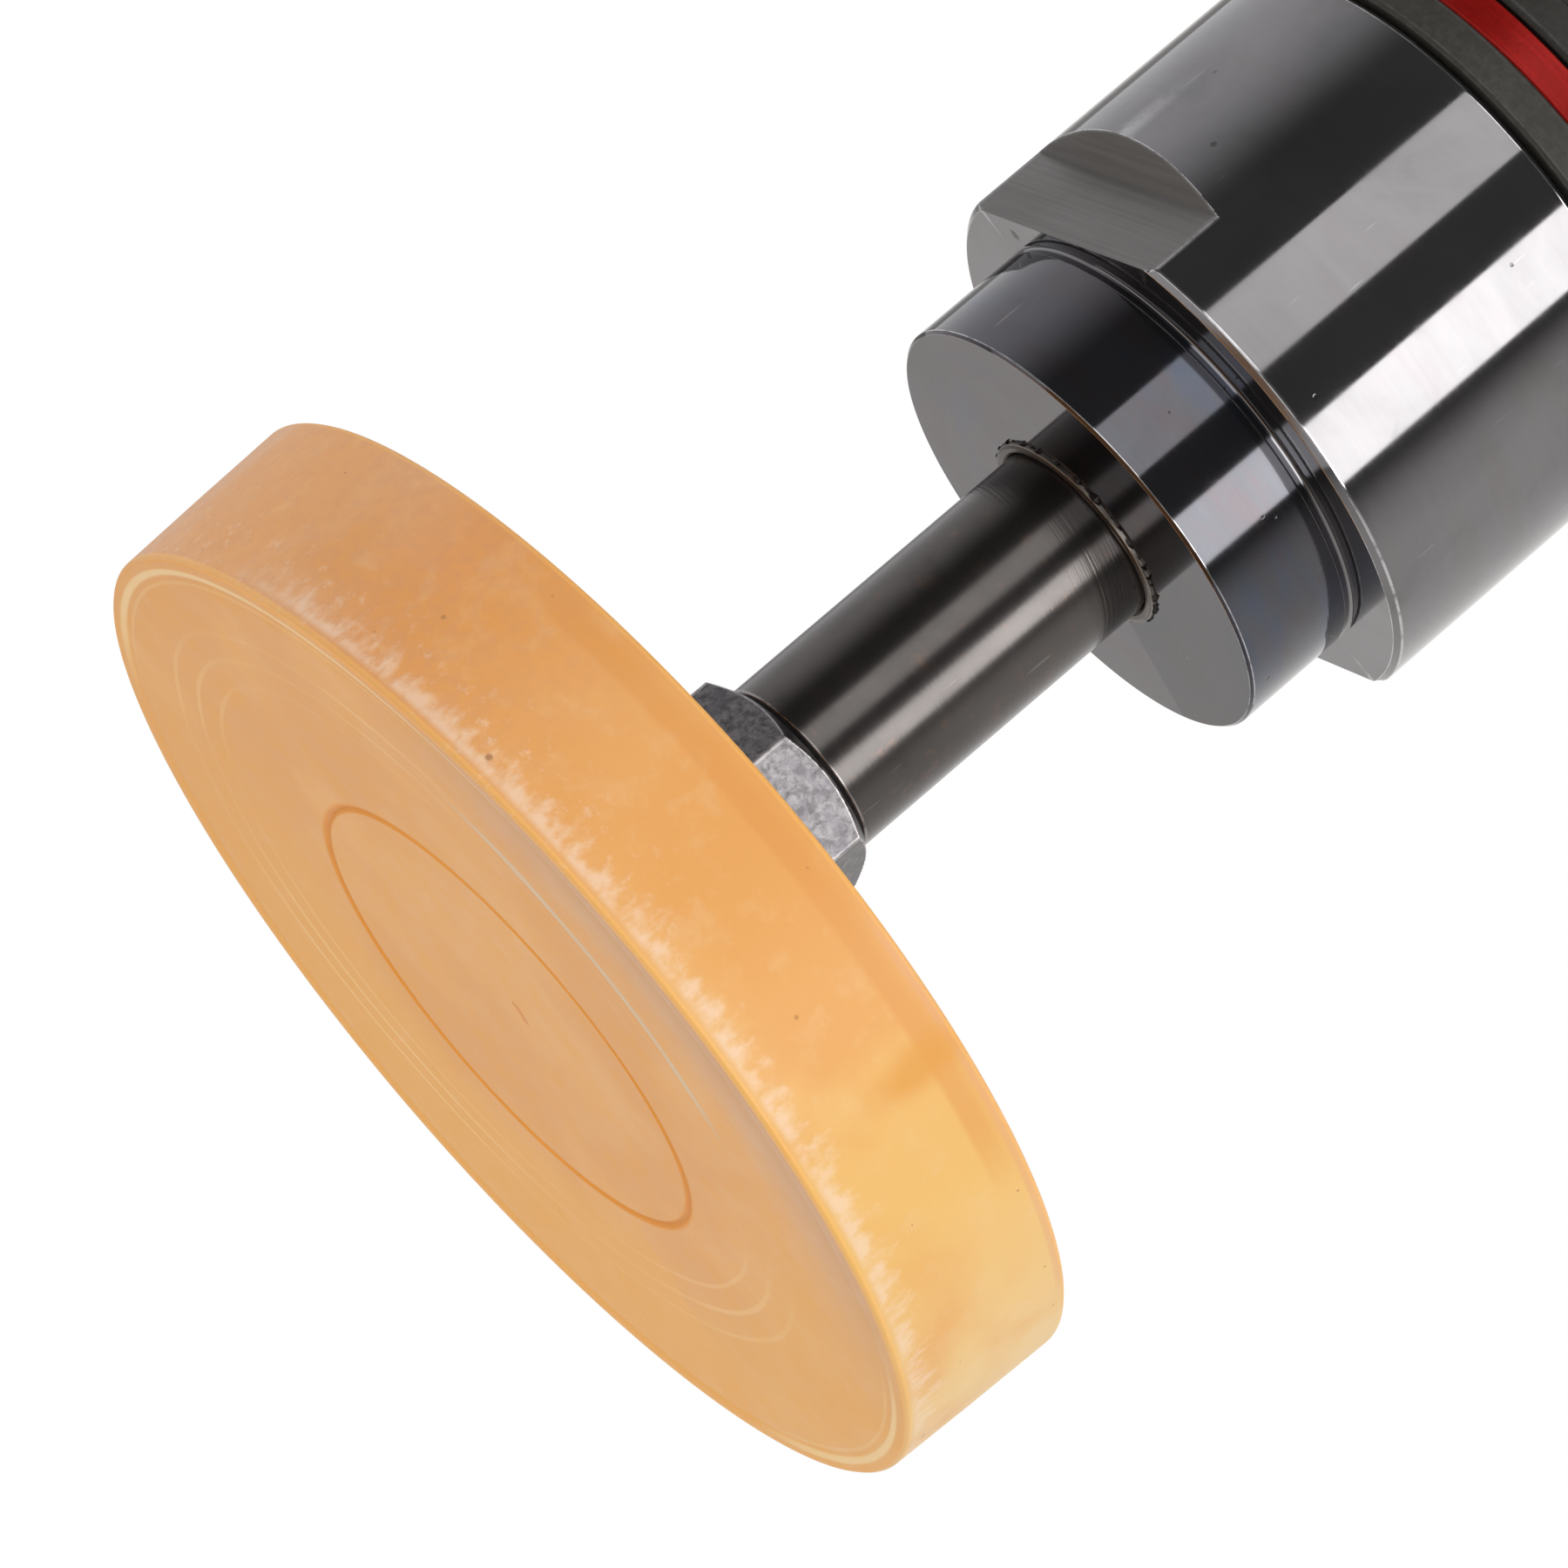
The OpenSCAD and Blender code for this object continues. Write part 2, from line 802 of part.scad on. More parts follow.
module motor_cylinder() {
    port_r = 1.5;
    port_count = 5;
    port_pitch = 6;
    color("lightgray")
        difference() {
            on_axis(cylinder_front)
                cylinder(r = cylinder_r, h = cylinder_rear - cylinder_front, $fn = round_fn);
            on_axis(cylinder_front - 1)
                translate([0, bore_offset, 0])
                    cylinder(r = cylinder_bore_r, h = cylinder_rear - cylinder_front + 2, $fn = round_fn);
            for (i = [0 : port_count - 1])
                upright(cylinder_front + 7 + i * port_pitch, 0)
                    rotate([90, 0, 0])
                        translate([0, 0, rotor_r - 2])
                            cylinder(r = port_r, h = cylinder_r, $fn = small_fn);
            exhaust_groove(cylinder_front + 4, cylinder_rear + 1);
            dowel_holes();
        }
}

module rear_end_plate() {
    port_r = 1.3;
    port_at = 13.6;
    slot_w = 3.4;
    slot_deep = 1.5;
    color("silver")
        difference() {
            turned([
                [rotor_journal_r + 0.3, cylinder_rear],
                [cylinder_r, cylinder_rear],
                [cylinder_r, rear_plate_rear],
                [rotor_bearing_out_r + seat_gap, rear_plate_rear],
                [rotor_bearing_out_r + seat_gap, rotor_rear_bearing],
                [rotor_journal_r + 0.3, rotor_rear_bearing]]);
            dowel_holes();
            exhaust_groove(cylinder_rear - 1, rear_plate_rear + 1);
            on_axis(cylinder_rear - 1)
                for (a = [inlet_port_angle - 12, inlet_port_angle, inlet_port_angle + 12])
                    rotate([0, 0, a])
                        translate([port_at, 0, 0])
                            cylinder(r = port_r, h = 12, $fn = small_fn);
            on_axis(rear_plate_rear - slot_deep)
                rotate([0, 0, inlet_port_angle])
                    translate([plenum_r - 1, -slot_w, 0])
                        cube([port_at + port_r - plenum_r + 0.5, 2 * slot_w, slot_deep + 1]);
        }
}

module rotor_bearing_outer_rings() {
    mid_r = (rotor_journal_r + rotor_bearing_out_r) / 2;
    color("silver")
        for (front = [rotor_front_bearing, rotor_rear_bearing])
            ball_ring(mid_r + rotor_ball_r * 0.6, rotor_bearing_out_r, rotor_ball_r, mid_r, front,
                rotor_bearing_w);
}

module rotor_bearing_balls() {
    mid_r = (rotor_journal_r + rotor_bearing_out_r) / 2;
    color("white")
        for (front = [rotor_front_bearing, rotor_rear_bearing])
            balls(rotor_ball_count, rotor_ball_r, mid_r, front, rotor_bearing_w);
}

// ---- Handle ----

module housing_o_ring() {
    color([0.1, 0.1, 0.1])
        o_ring(handle_neck_r - neck_cord_r - run_gap, neck_cord_r, neck_groove);
}

module handle() {
    lug_base_z = 15;
    lug_slope = 4;
    color([0.24, 0.24, 0.25])
        difference() {
            union() {
                turned([
                    [0, rear_plate_rear + 0.1],
                    [handle_neck_r, rear_plate_rear + 0.1],
                    [handle_neck_r, neck_groove - neck_groove_half],
                    [handle_neck_r - 2 * neck_groove_half, neck_groove - neck_groove_half],
                    [handle_neck_r - 2 * neck_groove_half, neck_groove + neck_groove_half],
                    [handle_neck_r, neck_groove + neck_groove_half],
                    [handle_neck_r, handle_shoulder],
                    [body_r - 2.4, handle_shoulder],
                    [grip_r + 0.2, grip_front - 0.6],
                    [grip_r - 0.4, grip_front],
                    [core_r, grip_front],
                    [core_r, tail_front - 0.8],
                    [handle_r - 0.8, tail_front - 0.8],
                    [handle_r, tail_front],
                    [handle_r, tail_rear - 0.6],
                    [handle_r - 0.6, tail_rear],
                    [0, tail_rear]]);
                // Lug that carries the lever
                across(pivot_station, lug_base_z, lug_w)
                    polygon([
                        [-lug_r - lug_slope, 0],
                        [-lug_r, pivot_z - lug_base_z],
                        [lug_r, pivot_z - lug_base_z],
                        [lug_r + 1.5, 0]]);
                across(pivot_station, pivot_z, lug_w)
                    circle(r = lug_r, $fn = small_fn);
                // Boss round the valve guide
                upright(valve_station, 10)
                    cylinder(r = guide_r + 1, h = guide_top - 10, $fn = small_fn);
            }
            // Cross hole for the lever pin
            across(pivot_station, pivot_z, 2 * lug_w)
                circle(r = lever_pin_r + seat_gap, $fn = small_fn);
            // Air passage from the valve forward to a plenum behind the motor
            on_axis(rear_plate_rear - 1)
                translate([0, air_z, 0])
                    cylinder(r = air_r, h = valve_station - rear_plate_rear + 1, $fn = small_fn);
            on_axis(rear_plate_rear - 1)
                cylinder(r = plenum_r, h = 5, $fn = round_fn);
            on_axis(rear_plate_rear - 1)
                rotate([0, 0, inlet_port_angle])
                    translate([plenum_r + 2, 0, 0])
                        cylinder(r = 2.6, h = 3, $fn = small_fn);
            // Valve bores, from the top and from below
            upright(valve_station, guide_bottom - seat_gap)
                cylinder(r = guide_r + seat_gap, h = 40, $fn = small_fn);
            upright(valve_station, seat_z)
                cylinder(r = seat_hole_r, h = 30, $fn = small_fn);
            upright(valve_station, -40)
                cylinder(r = valve_bore_r, h = 40 + seat_z + seat_t, $fn = small_fn);
            upright(valve_station, -40)
                cylinder(r = valve_cap_r + seat_gap, h = 40 + valve_cap_top, $fn = small_fn);
            // Inlet chamber, the thread for the bushing and the passage past the regulator
            on_axis(valve_station)
                translate([0, regulator_z, 0])
                    cylinder(r = passage_r, h = chamber_front + 1 - valve_station, $fn = small_fn);
            on_axis(chamber_front)
                cylinder(r = chamber_r, h = 30, $fn = round_fn);
            on_axis(tail_rear - 5)
                cylinder(r = bushing_thread_r + seat_gap, h = 10, $fn = round_fn);
            on_axis(tail_rear - inlet_seal_t)
                cylinder(r = inlet_seal_r + seat_gap, h = 2, $fn = round_fn);
            // Regulator bore from below, with a shelf for its head and a groove for its clip
            upright(regulator_station, -40)
                cylinder(r = regulator_r + run_gap, h = 40 + regulator_top + 0.3, $fn = small_fn);
            upright(regulator_station, -40)
                cylinder(r = regulator_head_r + 0.2, h = 40 + regulator_shelf, $fn = small_fn);
            upright(regulator_station, clip_z - 0.05)
                cylinder(r = regulator_head_r + 0.8, h = clip_t + 0.1, $fn = small_fn);
            // Exhaust passages along the handle
            on_axis(rear_plate_rear - 1)
                for (a = exhaust_angles)
                    rotate([0, 0, a])
                        translate([exhaust_at, 0, 0])
                            cylinder(r = exhaust_r, h = 100, $fn = small_fn);
            on_axis(rear_plate_rear - 1)
                translate([-exhaust_at - 2, 0, 0])
                    cylinder(r = 3.6, h = 2.4, $fn = small_fn);
        }
}

module grip_sleeve() {
    rib_pitch = (grip_rear - grip_front - 4) / grip_ribs;
    groove_deep = 0.7;
    color([0.12, 0.12, 0.12])
        difference() {
            turned([
                [core_r + seat_gap, grip_front + 0.1],
                [grip_r - 0.5, grip_front + 0.1],
                [grip_r, grip_front + 0.6],
                [grip_r, grip_rear - 0.6],
                [grip_r - 0.6, grip_rear],
                [core_r + seat_gap, grip_rear]]);
            for (i = [0 : grip_ribs])
                ring(grip_r - groove_deep, grip_r + 1, grip_front + 1.4 + i * rib_pitch,
                    grip_front + 2.6 + i * rib_pitch);
        }
}

// ---- Throttle valve, upright in the handle ----

module valve_guide() {
    color([0.75, 0.6, 0.3])
        upright(valve_station, 0)
            difference() {
                translate([0, 0, guide_bottom])
                    cylinder(r = guide_r, h = guide_top - guide_bottom, $fn = small_fn);
                cylinder(r = stem_r + run_gap, h = 40, $fn = small_fn);
                translate([0, 0, guide_groove - 0.65])
                    cylinder(r = stem_r + run_gap + 1.25, h = 1.3, $fn = small_fn);
            }
}

module valve_seat() {
    color([0.1, 0.1, 0.1])
        upright(valve_station, seat_z)
            difference() {
                cylinder(r = valve_bore_r - seat_gap, h = seat_t - 0.05, $fn = small_fn);
                translate([0, 0, -1])
                    cylinder(r = seat_hole_r, h = seat_t + 2, $fn = small_fn);
            }
}

// Push rod and poppet in one piece
module valve_stem() {
    poppet_top = seat_z - 0.05;
    dome = 0.8;
    color("silver")
        upright(valve_station, 0)
            rotate_extrude($fn = small_fn)
                polygon([
                    [0, poppet_top - poppet_t - 2],
                    [2.4, poppet_top - poppet_t - 2],
                    [2.4, poppet_top - poppet_t],
                    [poppet_r, poppet_top - poppet_t],
                    [poppet_r, poppet_top],
                    [stem_r, poppet_top],
                    [stem_r, stem_top - dome],
                    [stem_r - dome, stem_top],
                    [0, stem_top]]);
}

module stem_o_ring() {
    cord_r = 0.6;
    color([0.1, 0.1, 0.1])
        upright(valve_station, guide_groove)
            rotate_extrude($fn = small_fn)
                translate([stem_r + run_gap + cord_r, 0])
                    circle(r = cord_r, $fn = small_fn);
}

// Points of a ring across the spring's wire at turn t
function coil_ring(t, turns, height, sides) = [
    for (k = [0 : sides - 1])
        let (a = 360 * t, b = 360 * k / sides, r = spring_r + spring_wire_r * cos(b))
        [r * cos(a), r * sin(a), height * t / turns + spring_wire_r * sin(b)]];

module valve_spring() {
    sides = 8;
    steps = 18;
    top = seat_z - poppet_t - 0.15 - spring_wire_r;
    bottom = valve_cap_top + 0.15 + spring_wire_r;
    rings = spring_turns * steps;
    points = [for (i = [0 : rings]) each coil_ring(i / steps, spring_turns, top - bottom, sides)];
    walls = [for (i = [0 : rings - 1], k = [0 : sides - 1])
        [i * sides + k, i * sides + (k + 1) % sides, (i + 1) * sides + (k + 1) % sides, (i + 1) * sides + k]];
    start = [for (k = [sides - 1 : -1 : 0]) k];
    finish = [for (k = [0 : sides - 1]) rings * sides + k];
    color("silver")
        upright(valve_station, bottom)
            polyhedron(points = points, faces = concat([start], walls, [finish]), convexity = 8);
}

module valve_cap() {
    socket_af = 6;
    color([0.6, 0.6, 0.62])
        upright(valve_station, 0)
            difference() {
                translate([0, 0, valve_cap_face])
                    cylinder(r = valve_cap_r, h = valve_cap_top - 0.05 - valve_cap_face, $fn = small_fn);
                translate([0, 0, valve_cap_face - 1])
                    cylinder(r = socket_af / 2 / cos(30), h = 4.5, $fn = 6);
                translate([0, 0, valve_cap_groove])
                    rotate_extrude($fn = small_fn)
                        translate([valve_cap_r - cap_cord_r, 0])
                            circle(r = cap_cord_r + seat_gap, $fn = small_fn);
            }
}

module valve_cap_o_ring() {
    color([0.1, 0.1, 0.1])
        upright(valve_station, valve_cap_groove)
            rotate_extrude($fn = small_fn)
                translate([valve_cap_r - cap_cord_r, 0])
                    circle(r = cap_cord_r, $fn = small_fn);
}

// ---- Throttle lever ----

// Height of the lever's top face along its length
function lever_top(station) =
    station < lever_bend
        ? lever_bend_z + (lever_bend - station) * lever_front_rise
        : lever_bend_z + (station - lever_bend) * lever_rear_rise;

module throttle_lever() {
    pivot = pivot_station - grip_station;
    tip = lever_tip - grip_station;
    bend = lever_bend - grip_station;
    top_end = lever_top_end - grip_station;
    color([0.15, 0.15, 0.15])
        difference() {
            union() {
                across(grip_station, 0, lever_w)
                    polygon([
                        [tip, lever_top(lever_tip) + 0.6],
                        [tip + 5, lever_top(lever_tip + 5)],
                        [bend, lever_top(lever_bend)],
                        [top_end, lever_top(lever_top_end)],
                        [pivot - 2, pivot_z + 3.6],
                        [pivot, pivot_z],
                        [pivot - 2, pivot_z - 3.6],
                        [bend + 4, 22.8],
                        [bend - 8, 25.4],
                        [tip + 5, lever_top(lever_tip + 5) - 2.6],
                        [tip, lever_top(lever_tip) - 1.6]]);
                across(pivot_station, pivot_z, lever_w)
                    circle(r = cheek_r, $fn = small_fn);
            }
            // Channel under the top face, and the slot for the lug
            across(grip_station, 0, lever_w - 2 * lever_sheet)
                polygon([
                    [tip + 2.5, 20],
                    [tip + 2.5, lever_top(lever_tip + 2.5) - lever_sheet],
                    [bend, lever_top(lever_bend) - lever_sheet],
                    [top_end, lever_top(lever_top_end) - lever_sheet],
                    [top_end, 40],
                    [pivot + 10, 40],
                    [pivot + 10, 20]]);
            across(pivot_station, pivot_z, 2 * lever_w)
                circle(r = lever_pin_r + run_gap, $fn = small_fn);
        }
}

module lever_pin() {
    color("silver")
        across(pivot_station, pivot_z, lever_w + 0.8)
            circle(r = lever_pin_r, $fn = small_fn);
}

// ---- Speed regulator ----

module speed_regulator() {
    slot_w = 1.2;
    slot_deep = 1.2;
    boss_face = -handle_r - 0.8;
    color([0.6, 0.6, 0.62])
        upright(regulator_station, 0)
            difference() {
                rotate_extrude($fn = small_fn)
                    polygon([
                        [0, boss_face],
                        [regulator_boss_r - 0.4, boss_face],
                        [regulator_boss_r, boss_face + 0.4],
                        [regulator_boss_r, clip_z + clip_t + 0.1],
                        [regulator_head_r, clip_z + clip_t + 0.1],
                        [regulator_head_r, regulator_shelf - 0.1],
                        [regulator_r, regulator_shelf - 0.1],
                        [regulator_r, regulator_top],
                        [0, regulator_top]]);
                translate([-regulator_head_r - 1, -slot_w / 2, boss_face - 1])
                    cube([2 * regulator_head_r + 2, slot_w, 1 + slot_deep]);
                translate([-10, 0, regulator_z])
                    rotate([0, 90, 0])
                        cylinder(r = passage_r, h = 20, $fn = small_fn);
                translate([0, 0, regulator_groove])
                    rotate_extrude($fn = small_fn)
                        translate([regulator_r - regulator_cord_r, 0])
                            circle(r = regulator_cord_r + seat_gap, $fn = small_fn);
            }
}

module regulator_o_ring() {
    color([0.1, 0.1, 0.1])
        upright(regulator_station, regulator_groove)
            rotate_extrude($fn = small_fn)
                translate([regulator_r - regulator_cord_r, 0])
                    circle(r = regulator_cord_r, $fn = small_fn);
}

// Snap ring that keeps the regulator in its bore
module regulator_clip() {
    gap = 3;
    color("dimgray")
        upright(regulator_station, clip_z)
            difference() {
                cylinder(r = regulator_head_r + 0.75, h = clip_t, $fn = small_fn);
                translate([0, 0, -1])
                    cylinder(r = regulator_boss_r + 0.15, h = clip_t + 2, $fn = small_fn);
                translate([0, -gap / 2, -1])
                    cube([2 * regulator_head_r, gap, clip_t + 2]);
            }
}

// ---- Tail ----

module exhaust_deflector() {
    slot_count = 9;
    slot_w = 2.4;
    color([0.16, 0.16, 0.16])
        difference() {
            turned([
                [handle_r - 1.5, deflector_front],
                [handle_r - 0.5, deflector_front],
                [deflector_r, deflector_front + 0.5],
                [deflector_r, deflector_rear - 3],
                [deflector_r - 3, deflector_rear],
                [bushing_r + run_gap, deflector_rear],
                [bushing_r + run_gap, deflector_rear - 2],
                [deflector_r - 2, deflector_rear - 2.4],
                [deflector_r - 2, deflector_front + 0.6]]);
            for (i = [0 : slot_count - 1])
                on_axis(deflector_front + 2)
                    rotate([0, 0, 180 + i * 180 / (slot_count - 1)])
                        translate([deflector_r - 4, -slot_w / 2, 0])
                            cube([8, slot_w, 4.4]);
        }
}

module silencer() {
    color([0.75, 0.73, 0.68])
        ring(bushing_r + 0.1, deflector_r - 3.2, tail_rear + 0.05, deflector_rear - 2.8);
}

module inlet_bushing() {
    color([0.66, 0.66, 0.68])
        difference() {
            union() {
                on_axis(tail_rear - 4.8)
                    cylinder(r = bushing_thread_r, h = 5, $fn = round_fn);
                on_axis(tail_rear + 0.05)
                    cylinder(r = bushing_r, h = bushing_hex_front - tail_rear, $fn = round_fn);
                on_axis(bushing_flange_front)
                    cylinder(r = bushing_r + 2.4, h = bushing_hex_front - bushing_flange_front,
                        $fn = round_fn);
                intersection() {
                    on_axis(bushing_hex_front - 0.01)
                        cylinder(r = inlet_hex_af / 2 / cos(30), h = bushing_rear - bushing_hex_front,
                            $fn = 6);
                    turned([
                        [0, bushing_hex_front - 0.01],
                        [inlet_hex_af / 2 + 2, bushing_hex_front - 0.01],
                        [inlet_hex_af / 2 + 2, bushing_rear - 1.6],
                        [inlet_hex_af / 2 - 0.6, bushing_rear],
                        [0, bushing_rear]]);
                }
            }
            on_axis(bushing_rear - inlet_depth + screen_pocket)
                cylinder(r = inlet_r, h = inlet_depth, $fn = round_fn);
            on_axis(bushing_rear - inlet_depth)
                cylinder(r = screen_r + seat_gap, h = screen_pocket + 0.1, $fn = round_fn);
            on_axis(bushing_rear - 0.8)
                cylinder(r1 = inlet_r, r2 = inlet_r + 1.2, h = 1, $fn = round_fn);
            on_axis(tail_rear - 9)
                cylinder(r = inlet_r - 0.8, h = 20, $fn = round_fn);
        }
}

module inlet_o_ring() {
    color([0.1, 0.1, 0.1])
        ring(bushing_thread_r + seat_gap, inlet_seal_r, tail_rear - inlet_seal_t, tail_rear);
}

// Disc of wire gauze in a pocket below the inlet thread
module inlet_screen() {
    hole_r = 0.55;
    color([0.7, 0.66, 0.5])
        on_axis(bushing_rear - inlet_depth + 0.05)
            difference() {
                cylinder(r = screen_r, h = 0.5, $fn = small_fn);
                for (row = [-1 : 1], col = [-1 : 1])
                    translate([row * 2.4, col * 2.4, -1])
                        cylinder(r = hole_r, h = 3, $fn = 16);
            }
}

eraser_wheel();
wheel_insert();
wheel_arbor();
output_spindle();
carrier_plate();
planet_pins();
spindle_bearing_inner_rings();
inner_spacer();
spindle_circlip();
planet_gear_1();
planet_gear_2();
planet_gear_3();
rotor();
vanes();
rotor_bearing_inner_rings();
gear_housing();
dust_seal();
spindle_bearing_outer_rings();
spindle_bearing_balls();
outer_spacer();
housing_circlip();
ring_gear();
ring_gear_keys();
black_ring();
red_ring();
motor_housing();
front_end_plate();
motor_cylinder();
rear_end_plate();
rotor_bearing_outer_rings();
rotor_bearing_balls();
dowel_pins();
housing_o_ring();
handle();
grip_sleeve();
valve_guide();
valve_seat();
valve_cap();
valve_cap_o_ring();
valve_stem();
stem_o_ring();
valve_spring();
throttle_lever();
lever_pin();
speed_regulator();
regulator_o_ring();
regulator_clip();
exhaust_deflector();
silencer();
inlet_bushing();
inlet_o_ring();
inlet_screen();
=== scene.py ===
import json
import math

import bmesh
import bpy
from mathutils import Matrix, Vector


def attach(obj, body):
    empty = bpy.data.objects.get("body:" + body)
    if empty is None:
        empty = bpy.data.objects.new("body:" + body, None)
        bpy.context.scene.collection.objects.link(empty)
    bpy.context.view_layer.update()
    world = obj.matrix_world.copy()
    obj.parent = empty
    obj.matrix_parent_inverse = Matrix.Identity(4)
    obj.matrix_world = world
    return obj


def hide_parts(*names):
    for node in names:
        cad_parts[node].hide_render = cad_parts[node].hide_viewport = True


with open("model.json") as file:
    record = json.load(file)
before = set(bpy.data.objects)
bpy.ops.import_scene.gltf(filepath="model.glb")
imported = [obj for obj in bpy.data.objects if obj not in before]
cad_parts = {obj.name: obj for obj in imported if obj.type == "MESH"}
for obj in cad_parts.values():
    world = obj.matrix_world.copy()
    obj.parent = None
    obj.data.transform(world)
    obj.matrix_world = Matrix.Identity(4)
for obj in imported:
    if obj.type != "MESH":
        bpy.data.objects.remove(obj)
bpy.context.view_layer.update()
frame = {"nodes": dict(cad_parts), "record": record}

MM = 0.001
GRIP_STATION = 190          # stations run from the wheel's front face; the grip is the origin
NOSE_FRONT, NOSE_R = 59.0, 19.2
HOUSING_FRONT, HOUSING_R = 69.6, 24.0
FLAT_HALF, FLAT_REAR = 20.5, 76.5       # the spanner flats
WHEEL_R, WHEEL_BACK_R, WHEEL_T = 44.0, 44.6, 15.5


def metres_along(station):
    return (station - GRIP_STATION) * MM


def linear(*srgb):
    """A colour given as 0-255 sRGB, as linear light with alpha."""
    channels = []
    for value in srgb:
        v = value / 255
        channels.append(v / 12.92 if v <= 0.04045 else ((v + 0.055) / 1.055) ** 2.4)
    return (*channels, 1.0)


# ---------------------------------------------------------------- wiring nodes

class Bench:
    """Lays out and wires the nodes of one tree."""

    def __init__(self, tree):
        self.tree = tree
        self.count = 0

    def node(self, kind, inputs=None, **settings):
        made = self.tree.nodes.new(kind)
        made.location = (220 * (self.count % 14), -260 * (self.count // 14))
        self.count += 1
        for name, value in settings.items():
            setattr(made, name, value)
        for name, value in (inputs or {}).items():
            self.feed(made.inputs[name], value)
        return made

    def feed(self, socket, value):
        if isinstance(value, bpy.types.NodeSocket):
            self.tree.links.new(value, socket)
        else:
            socket.default_value = value

    def math(self, operation, *values, clamp=False):
        made = self.node("ShaderNodeMath", operation=operation, use_clamp=clamp)
        for socket, value in zip(made.inputs, values):
            self.feed(socket, value)
        return made.outputs[0]

    def vector(self, operation, *values, scale=None):
        made = self.node("ShaderNodeVectorMath", operation=operation)
        for socket, value in zip(made.inputs, values):
            self.feed(socket, value)
        if scale is not None:
            self.feed(made.inputs["Scale"], scale)
        return made.outputs["Value" if operation in ("LENGTH", "DOT_PRODUCT") else "Vector"]

    def step(self, value, low, high, to_low=0.0, to_high=1.0):
        """A smooth step from to_low, below low, to to_high, above high."""
        made = self.node("ShaderNodeMapRange", interpolation_type="SMOOTHSTEP")
        for name, v in (("Value", value), ("From Min", low), ("From Max", high),
                        ("To Min", to_low), ("To Max", to_high)):
            self.feed(made.inputs[name], v)
        return made.outputs["Result"]

    def band(self, value, centre, half, soft):
        """1 within half of centre, falling to 0 over soft on both sides."""
        off = self.math("ABSOLUTE", self.math("SUBTRACT", value, centre))
        return self.step(off, half, half + soft, 1.0, 0.0)

    def noise(self, vector, scale, detail=3.0, roughness=0.5, distortion=0.0, kind="Fac"):
        made = self.node("ShaderNodeTexNoise", {
            "Vector": vector, "Scale": scale, "Detail": detail,
            "Roughness": roughness, "Distortion": distortion})
        return made.outputs[kind]

    def mix(self, share, a, b, blend="MIX"):
        made = self.node("ShaderNodeMix", data_type="RGBA", blend_type=blend)
        for socket, value in ((made.inputs[0], share), (made.inputs[6], a), (made.inputs[7], b)):
            self.feed(socket, value)
        return made.outputs[2]

    def ramp(self, value, stops):
        made = self.node("ShaderNodeValToRGB", {"Fac": value})
        elements = made.color_ramp.elements
        while len(elements) > 1:
            elements.remove(elements[-1])
        elements[0].position, elements[0].color = stops[0]
        for place, colour in stops[1:]:
            elements.new(place).color = colour
        return made.outputs["Color"]

    def split(self, vector):
        return self.node("ShaderNodeSeparateXYZ", {"Vector": vector}).outputs

    def join(self, x, y, z):
        return self.node("ShaderNodeCombineXYZ", {"X": x, "Y": y, "Z": z}).outputs[0]


def node_group(name, kind, inputs, outputs):
    """An empty node group with its sockets: (tree, bench, input sockets, function to set outputs)."""
    tree = bpy.data.node_groups.new(name, kind)
    for label, socket, default in inputs:
        made = tree.interface.new_socket(label, in_out="INPUT", socket_type=socket)
        if default is not None:
            made.default_value = default
    for label, socket in outputs:
        tree.interface.new_socket(label, in_out="OUTPUT", socket_type=socket)
    bench = Bench(tree)
    given = bench.node("NodeGroupInput").outputs
    result = bench.node("NodeGroupOutput")
    return tree, bench, given, result.inputs


FLOAT, VECTOR = "NodeSocketFloat", "NodeSocketVector"


def turned_places():
    """Where a point lies on a part turned about the spindle axis."""
    tree, b, given, out = node_group(
        "Turned places", "ShaderNodeTree", [("Vector", VECTOR, None)],
        [("Station", FLOAT), ("Radius", FLOAT), ("Angle", FLOAT), ("Around", VECTOR)])
    x, y, z = b.split(given["Vector"])[:3]
    station = b.math("MULTIPLY_ADD", x, 1000.0, float(GRIP_STATION))
    reach = b.math("SQRT", b.math("ADD", b.math("MULTIPLY", y, y), b.math("MULTIPLY", z, z)))
    radius = b.math("MULTIPLY", reach, 1000.0)
    # Degrees from the lever's side toward the near side
    angle = b.math("DEGREES", b.math("ARCTAN2", b.math("MULTIPLY", y, -1.0), z))
    b.feed(out["Station"], station)
    b.feed(out["Radius"], radius)
    b.feed(out["Angle"], angle)
    b.feed(out["Around"], b.join(station, radius, b.math("MULTIPLY", angle, 0.1)))
    return tree


def turning_marks():
    """Fine rings left by the lathe tool, on cylinders and faces alike."""
    tree, b, given, out = node_group(
        "Turning marks", "ShaderNodeTree",
        [("Vector", VECTOR, None), ("Per mm", FLOAT, 6.0), ("Slant", FLOAT, 0.0)],
        [("Height", FLOAT), ("Streak", FLOAT)])
    places = b.node("ShaderNodeGroup", {}, node_tree=GROUPS["Turned places"])
    b.feed(places.inputs["Vector"], given["Vector"])
    slanted = b.math("MULTIPLY", places.outputs["Angle"], given["Slant"])
    along = b.math("ADD", places.outputs["Station"], slanted)
    thin = b.math("MULTIPLY", places.outputs["Angle"], 0.012)
    lines = b.join(b.math("MULTIPLY", along, given["Per mm"]),
                   b.math("MULTIPLY", places.outputs["Radius"], given["Per mm"]), thin)
    b.feed(out["Height"], b.noise(lines, 1.0, 2.0, 0.6))
    streaks = b.vector("MULTIPLY", lines, (0.33, 0.33, 2.2))
    b.feed(out["Streak"], b.noise(streaks, 1.0, 4.0, 0.65))
    return tree


